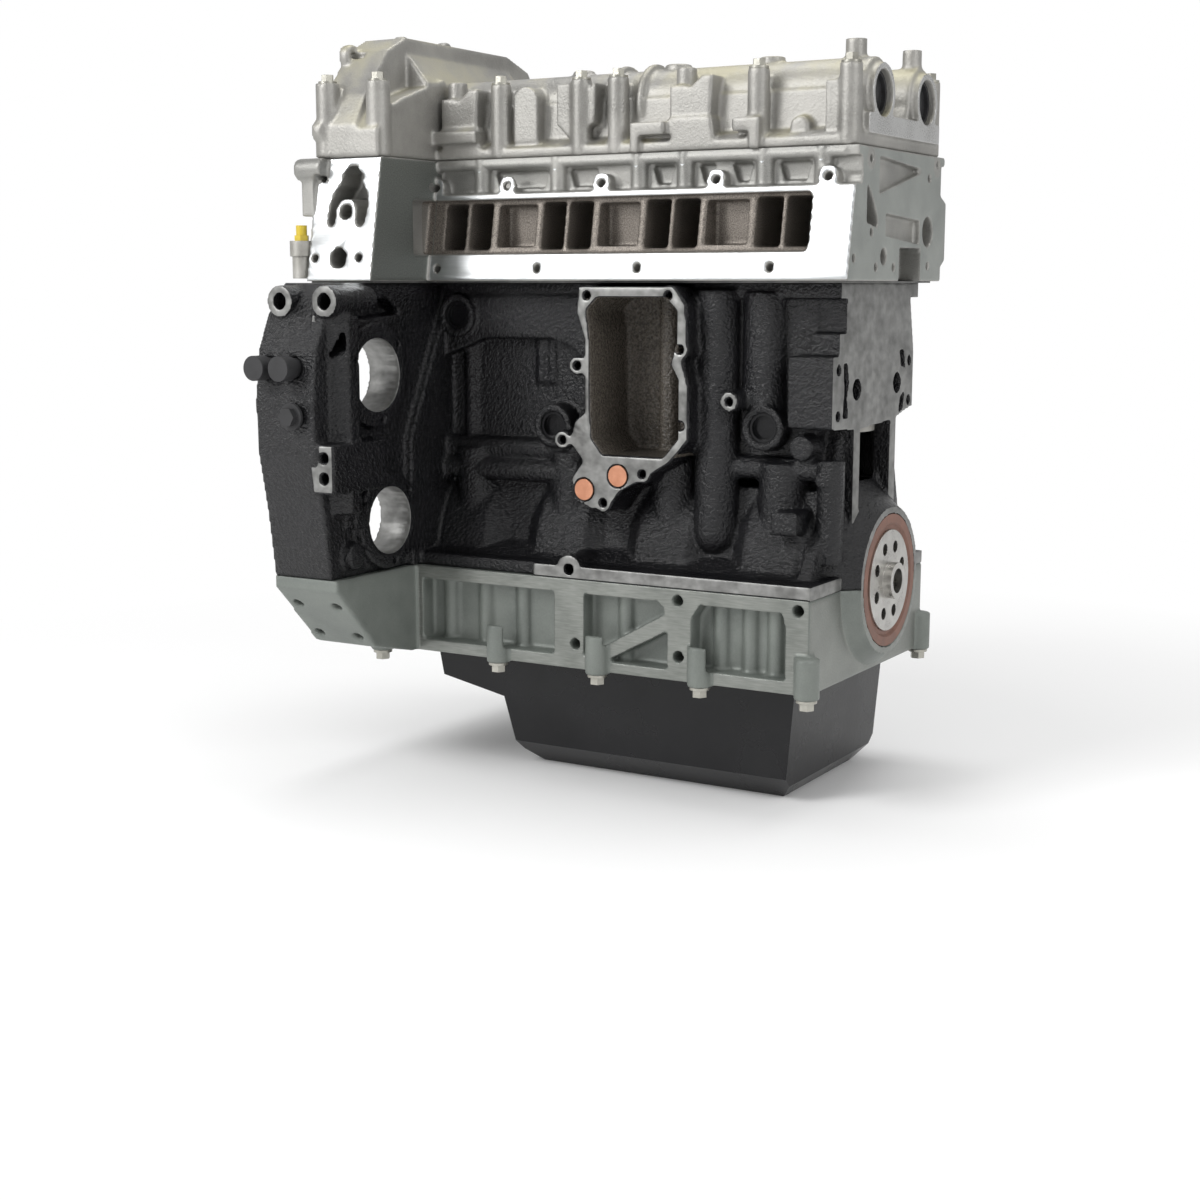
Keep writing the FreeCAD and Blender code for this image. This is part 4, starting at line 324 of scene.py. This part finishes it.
blockLook = {
    "slot": "block_iron",
    "grain": 560, "blotch": 14,
    "dark": (0.0035, 0.0035, 0.004, 1), "light": (0.009, 0.009, 0.0105, 1),
    "speck": 0.2, "fleck": (0.018, 0.018, 0.02, 1), "rough": (0.12, 0.22), "metal": 0.0, "edge": 0.002,
    "bump": 1.0, "depth": 0.0022, "shine": 0.42,
    "cutDark": (0.15, 0.15, 0.145, 1), "cutLight": (0.34, 0.34, 0.33, 1), "cutRough": (0.30, 0.46),
    "cutMetal": 0.85, "stretch": (90, 90, 120),
    # direction, distance, and for some the low and high corners of the box that holds the face
    "faces": [(ahead, -0.014), (ahead, 0.0), (behind, 0.493), (up, 0.264), (left, 0.143), (left, 0.126),
              (left, 0.266, (-0.50, -0.3, 0.23), (-0.40, -0.2, 0.265)),
              (left, 0.278, (-0.4345, -0.3, 0.07), (-0.40, -0.2, 0.13)),
              (left, 0.116, (-0.12, -0.2, 0.15), (-0.09, -0.1, 0.18))],
    # centre, axis and radius
    "bores": [((0, -0.1985, 0.1816), (1, 0, 0), 0.033), ((0, -0.1834, 0.0473), (1, 0, 0), 0.031)],
    # low corner, high corner, soft edge and two colours of a bare room
    "rooms": [((-0.244, -0.1255, 0.1125), (-0.1505, -0.05, 0.252), 0.0008,
               (0.060, 0.052, 0.043, 1), (0.125, 0.110, 0.092, 1))],
}
dress(castingMaterial("blackCastIron", blockLook), "engine_block")

# bedplate: grey-green casting

bedLook = {
    "slot": "bedplate_alloy",
    "grain": 900, "blotch": 20, "dark": (0.135, 0.150, 0.138, 1), "light": (0.195, 0.213, 0.195, 1),
    "speck": 0.25, "fleck": (0.28, 0.295, 0.27, 1), "rough": (0.40, 0.53), "metal": 0.3, "edge": 0.0016,
    "bump": 0.4, "depth": 0.0006,
    "cutDark": (0.17, 0.18, 0.165, 1), "cutLight": (0.27, 0.28, 0.26, 1), "cutRough": (0.30, 0.44),
    "cutMetal": 0.6, "stretch": (70, 700, 700),
    "faces": [(left, 0.143), (ahead, 0.0), (ahead, -0.014), (down, 0.082), (behind, 0.493)],
}
dress(castingMaterial("greenGreyCasting", bedLook), "bedplate")

# cylinder head: light alloy with machined flanges

headLook = {
    "slot": "head_alloy",
    "grain": 1000, "blotch": 18, "dark": (0.20, 0.20, 0.19, 1), "light": (0.36, 0.355, 0.335, 1),
    "speck": 0.35, "fleck": (0.52, 0.51, 0.48, 1), "rough": (0.38, 0.54), "metal": 0.6, "edge": 0.0014,
    "bump": 0.5, "depth": 0.0006,
    "cutDark": (0.48, 0.495, 0.50, 1), "cutLight": (0.60, 0.615, 0.62, 1), "cutRough": (0.30, 0.40),
    "stretch": (40, 500, 500),
    "faces": [(leanOut, 0.166103, (-0.46, -0.3, 0.25), (0.02, 0.05, 0.3655)), (leanOut, 0.250744)],
    "dull": [(ahead, 0.004), (behind, 0.493)],
    "dullColours": ((0.26, 0.275, 0.26, 1), (0.36, 0.375, 0.355, 1)),
    # painted shade: the ports' pocket, then the wall left of the intake flange, both painted darker than the
    # casting
    "rooms": [((-0.4285, -0.1165, 0.2895), (-0.0355, -0.05, 0.340), 0.0012,
               (0.095, 0.084, 0.073, 1), (0.27, 0.24, 0.21, 1)),
              ((-0.4206, -0.21, 0.265), (-0.4194, -0.09, 0.377), 0.0004,
               (0.115, 0.125, 0.115, 1), (0.20, 0.21, 0.195, 1))],
}
dress(castingMaterial("headAlloy", headLook), "cylinder_head")

# cam carrier: sand-cast alloy with a faint straw tint

carrierLook = {
    "slot": "carrier_alloy",
    "grain": 850, "blotch": 13, "dark": (0.23, 0.225, 0.21, 1), "light": (0.42, 0.41, 0.385, 1),
    "speck": 0.3, "fleck": (0.50, 0.49, 0.465, 1), "straw": (0.40, 0.375, 0.26, 1),
    "rough": (0.38, 0.54), "metal": 0.62, "edge": 0.002, "bump": 0.5, "depth": 0.0008,
    "cutDark": (0.50, 0.50, 0.49, 1), "cutLight": (0.70, 0.70, 0.69, 1), "cutRough": (0.22, 0.36),
    "faces": [(up, 0.442), (ahead, 0.004), (behind, 0.493), (up, 0.466)],
}
dress(castingMaterial("carrierAlloy", carrierLook), "cam_carrier")


# plain metals, rubbers and plastics

plainGrain = {"grain": 1500, "blotch": 60, "edge": 0.0006, "bump": 0.2, "depth": 0.0004,
              # what the turning lines and the skin each add to a ringed surface
              "ringShare": 0.35, "skinShare": 0.3}


def plainMaterial(name, look):
    # turned or moulded surface, with its own grain and smears
    material, tree, shader = startMaterial(name)
    look = {**plainGrain, **look}
    skin = fillGroup(tree, castSkin, {"Grain": look["grain"], "Blotch": look["blotch"]})
    tone, height = skin.outputs["Tone"], skin.outputs["Height"]
    colour = blendColour(tree, ramp(tree, tone, *spans["tone"]), look["dark"], look["light"])
    tree.links.new(colour, shader.inputs["Base Color"])
    tree.links.new(ramp(tree, tone, *spans["tone"], *look["rough"]), shader.inputs["Roughness"])
    shader.inputs["Metallic"].default_value = look["metal"]
    if "rings" in look:
        # turning lines about the crank's axis
        reach = fillGroup(tree, roundMask, {"Centre": (0, 0, 0), "Axis": (1, 0, 0)}).outputs["Reach"]
        wave = math1(tree, "SINE", math1(tree, "MULTIPLY", reach, look["rings"]))
        height = math1(tree, "ADD", math1(tree, "MULTIPLY", wave, look["ringShare"]),
                       math1(tree, "MULTIPLY", height, look["skinShare"]))
    finishSurface(tree, shader, look, height)
    return material


plainLooks = {
    "groundSteel": ({"dark": (0.42, 0.41, 0.39, 1), "light": (0.62, 0.61, 0.58, 1), "rough": (0.24, 0.38),
                     "metal": 1.0, "rings": 9000.0},
                    ["crankshaft", "tensioner_pivot", "tensioner_plunger"]
                    + [side + "_valves_" + str(n) for side in ("intake", "exhaust") for n in (1, 2, 3, 4)]),
    "zincBolts": ({"dark": (0.34, 0.33, 0.29, 1), "light": (0.52, 0.51, 0.46, 1), "rough": (0.32, 0.5),
                   "metal": 0.9},
                  ["carrier_bolts", "bedplate_bolts", "crank_nose_bolt", "drain_plug"]),
    "sealRubber": ({"dark": (0.13, 0.06, 0.04, 1), "light": (0.22, 0.11, 0.08, 1), "rough": (0.45, 0.6),
                    "metal": 0.0}, ["crank_seal"]),
    "blackPaint": ({"dark": (0.004, 0.004, 0.005, 1), "light": (0.011, 0.011, 0.012, 1), "rough": (0.18, 0.32),
                    "metal": 0.0, "shine": 0.3, "blotch": 12, "grain": 500},
                   ["oil_pan", "core_plugs"]),
    "blackRubber": ({"dark": (0.012, 0.012, 0.013, 1), "light": (0.03, 0.03, 0.032, 1), "rough": (0.5, 0.68),
                     "metal": 0.0}, ["case_plugs", "cam_end_plugs", "oil_pickup"]),
    "copper": ({"dark": (0.50, 0.22, 0.13, 1), "light": (0.68, 0.34, 0.22, 1), "rough": (0.28, 0.44),
                "metal": 0.9}, ["oil_port_plugs"]),
    "gasketSteel": ({"dark": (0.12, 0.12, 0.12, 1), "light": (0.24, 0.24, 0.23, 1), "rough": (0.4, 0.55),
                     "metal": 0.8}, ["head_gasket"]),
    "castParts": ({"dark": (0.34, 0.33, 0.30, 1), "light": (0.50, 0.49, 0.46, 1), "rough": (0.4, 0.56),
                   "metal": 0.6, "edge": 0.0012, "bump": 0.4},
                  ["coolant_elbow", "oil_pump", "tensioner_body", "main_bearing_shells"]
                  + ["piston_" + str(n) for n in (1, 2, 3, 4)]),
    "forgedSteel": ({"dark": (0.16, 0.155, 0.15, 1), "light": (0.30, 0.29, 0.28, 1), "rough": (0.36, 0.52),
                     "metal": 0.9, "edge": 0.001, "bump": 0.4},
                    ["intake_camshaft", "exhaust_camshaft", "intake_valve_springs", "exhaust_valve_springs"]
                    + ["connecting_rod_" + str(n) for n in (1, 2, 3, 4)]),
    "oiledChain": ({"dark": (0.12, 0.11, 0.10, 1), "light": (0.30, 0.28, 0.25, 1), "rough": (0.24, 0.4),
                    "metal": 1.0},
                   ["timing_chain", "crank_sprocket", "intake_cam_sprocket", "exhaust_cam_sprocket"]),
    "guidePlastic": ({"dark": (0.035, 0.022, 0.012, 1), "light": (0.07, 0.045, 0.025, 1), "rough": (0.4, 0.52),
                      "metal": 0.0}, ["chain_guide", "tensioner_arm"]),
    "sensorYellow": ({"dark": (0.55, 0.40, 0.03, 1), "light": (0.75, 0.58, 0.06, 1), "rough": (0.3, 0.4),
                      "metal": 0.0}, ["coolant_sensor"]),
}
for name, (look, wearers) in plainLooks.items():
    dress(plainMaterial(name, look), *wearers)
print("materials set on every CAD node")


# rounded castings: the cast nodes get the fillets that sand moulds leave

# metres that still count as on a plane or bore, the gap that is welded, and the sharpest smooth fold
castLimits = {"plane": 0.0004, "bore": 0.0007, "weld": 0.000002, "fold": 38}
# voxel size, rounds of smoothing and most triangles
softening = {
    "engine_block": {"voxel": 0.0016, "rounds": 9, "most": 198000, "look": blockLook},
    "bedplate": {"voxel": 0.0017, "rounds": 4, "most": 120000, "look": bedLook},
    "cylinder_head": {"voxel": 0.0016, "rounds": 3, "most": 190000, "look": headLook},
    "cam_carrier": {"voxel": 0.0017, "rounds": 5, "most": 160000, "look": carrierLook},
}


def selectOnly(thing):
    for other in bpy.data.objects:
        other.select_set(False)
    thing.select_set(True)
    bpy.context.view_layer.objects.active = thing


def applyModifier(thing, name, kind, **settings):
    modifier = thing.modifiers.new(name, kind)
    for key, value in settings.items():
        setattr(modifier, key, value)
    selectOnly(thing)
    bpy.ops.object.modifier_apply(modifier=name)


def machinedPoints(mesh, look):
    # true for each vertex on a machined plane or bore
    points = np.empty(len(mesh.vertices) * 3)
    mesh.vertices.foreach_get("co", points)
    points = points.reshape(-1, 3)
    kept = np.zeros(len(points), bool)
    for direction, distance, *unused in look["faces"] + look.get("dull", []):
        kept |= abs(points @ np.array(direction) - distance) < castLimits["plane"]
    for centre, axis, radius in look.get("bores", ()):
        reach = np.linalg.norm(np.cross(points - np.array(centre), np.array(axis)), axis=1)
        kept |= abs(reach - radius) < castLimits["bore"]
    return kept


def softCasting(name, how):
    # a remeshed copy whose edges are worn round, with its machined places kept
    casting = bpy.data.objects.new(name + "Cast", nodes[name].data.copy())
    bpy.context.scene.collection.objects.link(casting)
    selectOnly(casting)
    bpy.ops.object.mode_set(mode="EDIT")
    bpy.ops.mesh.select_all(action="SELECT")
    bpy.ops.mesh.remove_doubles(threshold=castLimits["weld"])
    bpy.ops.object.mode_set(mode="OBJECT")
    applyModifier(casting, "skin", "REMESH", mode="VOXEL", voxel_size=how["voxel"])
    loose = np.flatnonzero(~machinedPoints(casting.data, how["look"]))
    casting.vertex_groups.new(name="cast").add(loose.tolist(), 1.0, "REPLACE")
    applyModifier(casting, "fillets", "SMOOTH", factor=0.5, iterations=how["rounds"], vertex_group="cast")
    count = 2 * len(casting.data.polygons)
    if count > how["most"]:
        applyModifier(casting, "lean", "DECIMATE", ratio=how["most"] / count)
    selectOnly(casting)
    bpy.ops.object.shade_smooth_by_angle(angle=math.radians(castLimits["fold"]))
    casting.vertex_groups.clear()
    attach(casting, "long_block")
    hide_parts(name)
    print(name, "rounded,", len(casting.data.polygons), "faces from", count)


for name, how in softening.items():
    softCasting(name, how)


# floor, lamps and camera

studio = {
    "floorDrop": 0.0004, "floorSize": 14.0, "floorColour": (0.90, 0.90, 0.90, 1), "floorRough": 0.7,
    "middle": (-0.25, 0), "shadowReach": (0.45, 1.1), "skyLight": 0.55,
    # place, aimed at, width, height, watts
    "lamps": [((-1.3, -2.0, 1.9), (-0.25, 0, 0.15), 1.1, 0.9, 34),
              ((-1.5, -2.2, 0.9), (-0.25, 0, 0.15), 0.5, 0.5, 13),
              ((1.9, -0.7, 1.3), (-0.2, 0, 0.1), 1.0, 1.4, 15),
              ((-0.3, 0.5, 2.4), (-0.25, 0, 0.2), 2.0, 1.2, 26)],
}
cameraView = {"place": (0.6045, -1.5350, 0.2631), "turn": 30.6, "down": 9.8, "lens": 54.9, "sensor": 36.0,
              "near": 0.05, "far": 60}


def makeFloor():
    height = cadBox[0].z - studio["floorDrop"]
    bpy.ops.mesh.primitive_plane_add(size=studio["floorSize"], location=(*studio["middle"], height))
    floor = bpy.context.object
    floor.name = "studioFloor"
    material, tree, shader = startMaterial("studioFloor")
    shader.inputs["Base Color"].default_value = studio["floorColour"]
    shader.inputs["Roughness"].default_value = studio["floorRough"]
    # away from the engine the camera sees the floor as plain white
    away = vectorMath(tree, "LENGTH", objectPlace(tree))["Value"]
    seen = math1(tree, "MULTIPLY", addNode(tree, "LightPath").outputs["Is Camera Ray"],
                 ramp(tree, away, *studio["shadowReach"]))
    plain = addNode(tree, "Emission", {"Color": (1, 1, 1, 1), "Strength": 1.0})
    mixed = addNode(tree, "MixShader", {0: seen, 1: shader.outputs[0], 2: plain.outputs[0]})
    tree.links.new(mixed.outputs[0], tree.nodes["Material Output"].inputs["Surface"])
    floor.data.materials.append(material)


def makeWorld():
    world = bpy.data.worlds.new("studioSky")
    bpy.context.scene.world = world
    world.use_nodes = True
    tree = world.node_tree
    background = tree.nodes["Background"]
    seen = addNode(tree, "LightPath").outputs["Is Camera Ray"]
    background.inputs["Color"].default_value = (1, 1, 1, 1)
    tree.links.new(blendValue(tree, seen, studio["skyLight"], 1.0), background.inputs["Strength"])


def makeLamps():
    for number, (place, aim, width, height, watts) in enumerate(studio["lamps"]):
        light = bpy.data.lights.new("softBox" + str(number + 1), "AREA")
        light.shape = "RECTANGLE"
        light.size, light.size_y, light.energy = width, height, watts
        lamp = bpy.data.objects.new(light.name, light)
        bpy.context.scene.collection.objects.link(lamp)
        lamp.location = place
        lamp.rotation_euler = (Vector(aim) - Vector(place)).to_track_quat("-Z", "Y").to_euler()


def makeCamera():
    lens = bpy.data.cameras.new("photoView")
    lens.lens, lens.sensor_width = cameraView["lens"], cameraView["sensor"]
    lens.clip_start, lens.clip_end = cameraView["near"], cameraView["far"]
    camera = bpy.data.objects.new("photoView", lens)
    bpy.context.scene.collection.objects.link(camera)
    camera.location = cameraView["place"]
    camera.rotation_euler = (math.radians(90 - cameraView["down"]), 0, math.radians(cameraView["turn"]))
    bpy.context.scene.camera = camera


makeFloor()
makeWorld()
makeLamps()
makeCamera()
bpy.context.scene.view_settings.view_transform = "Standard"
print("studio ready")
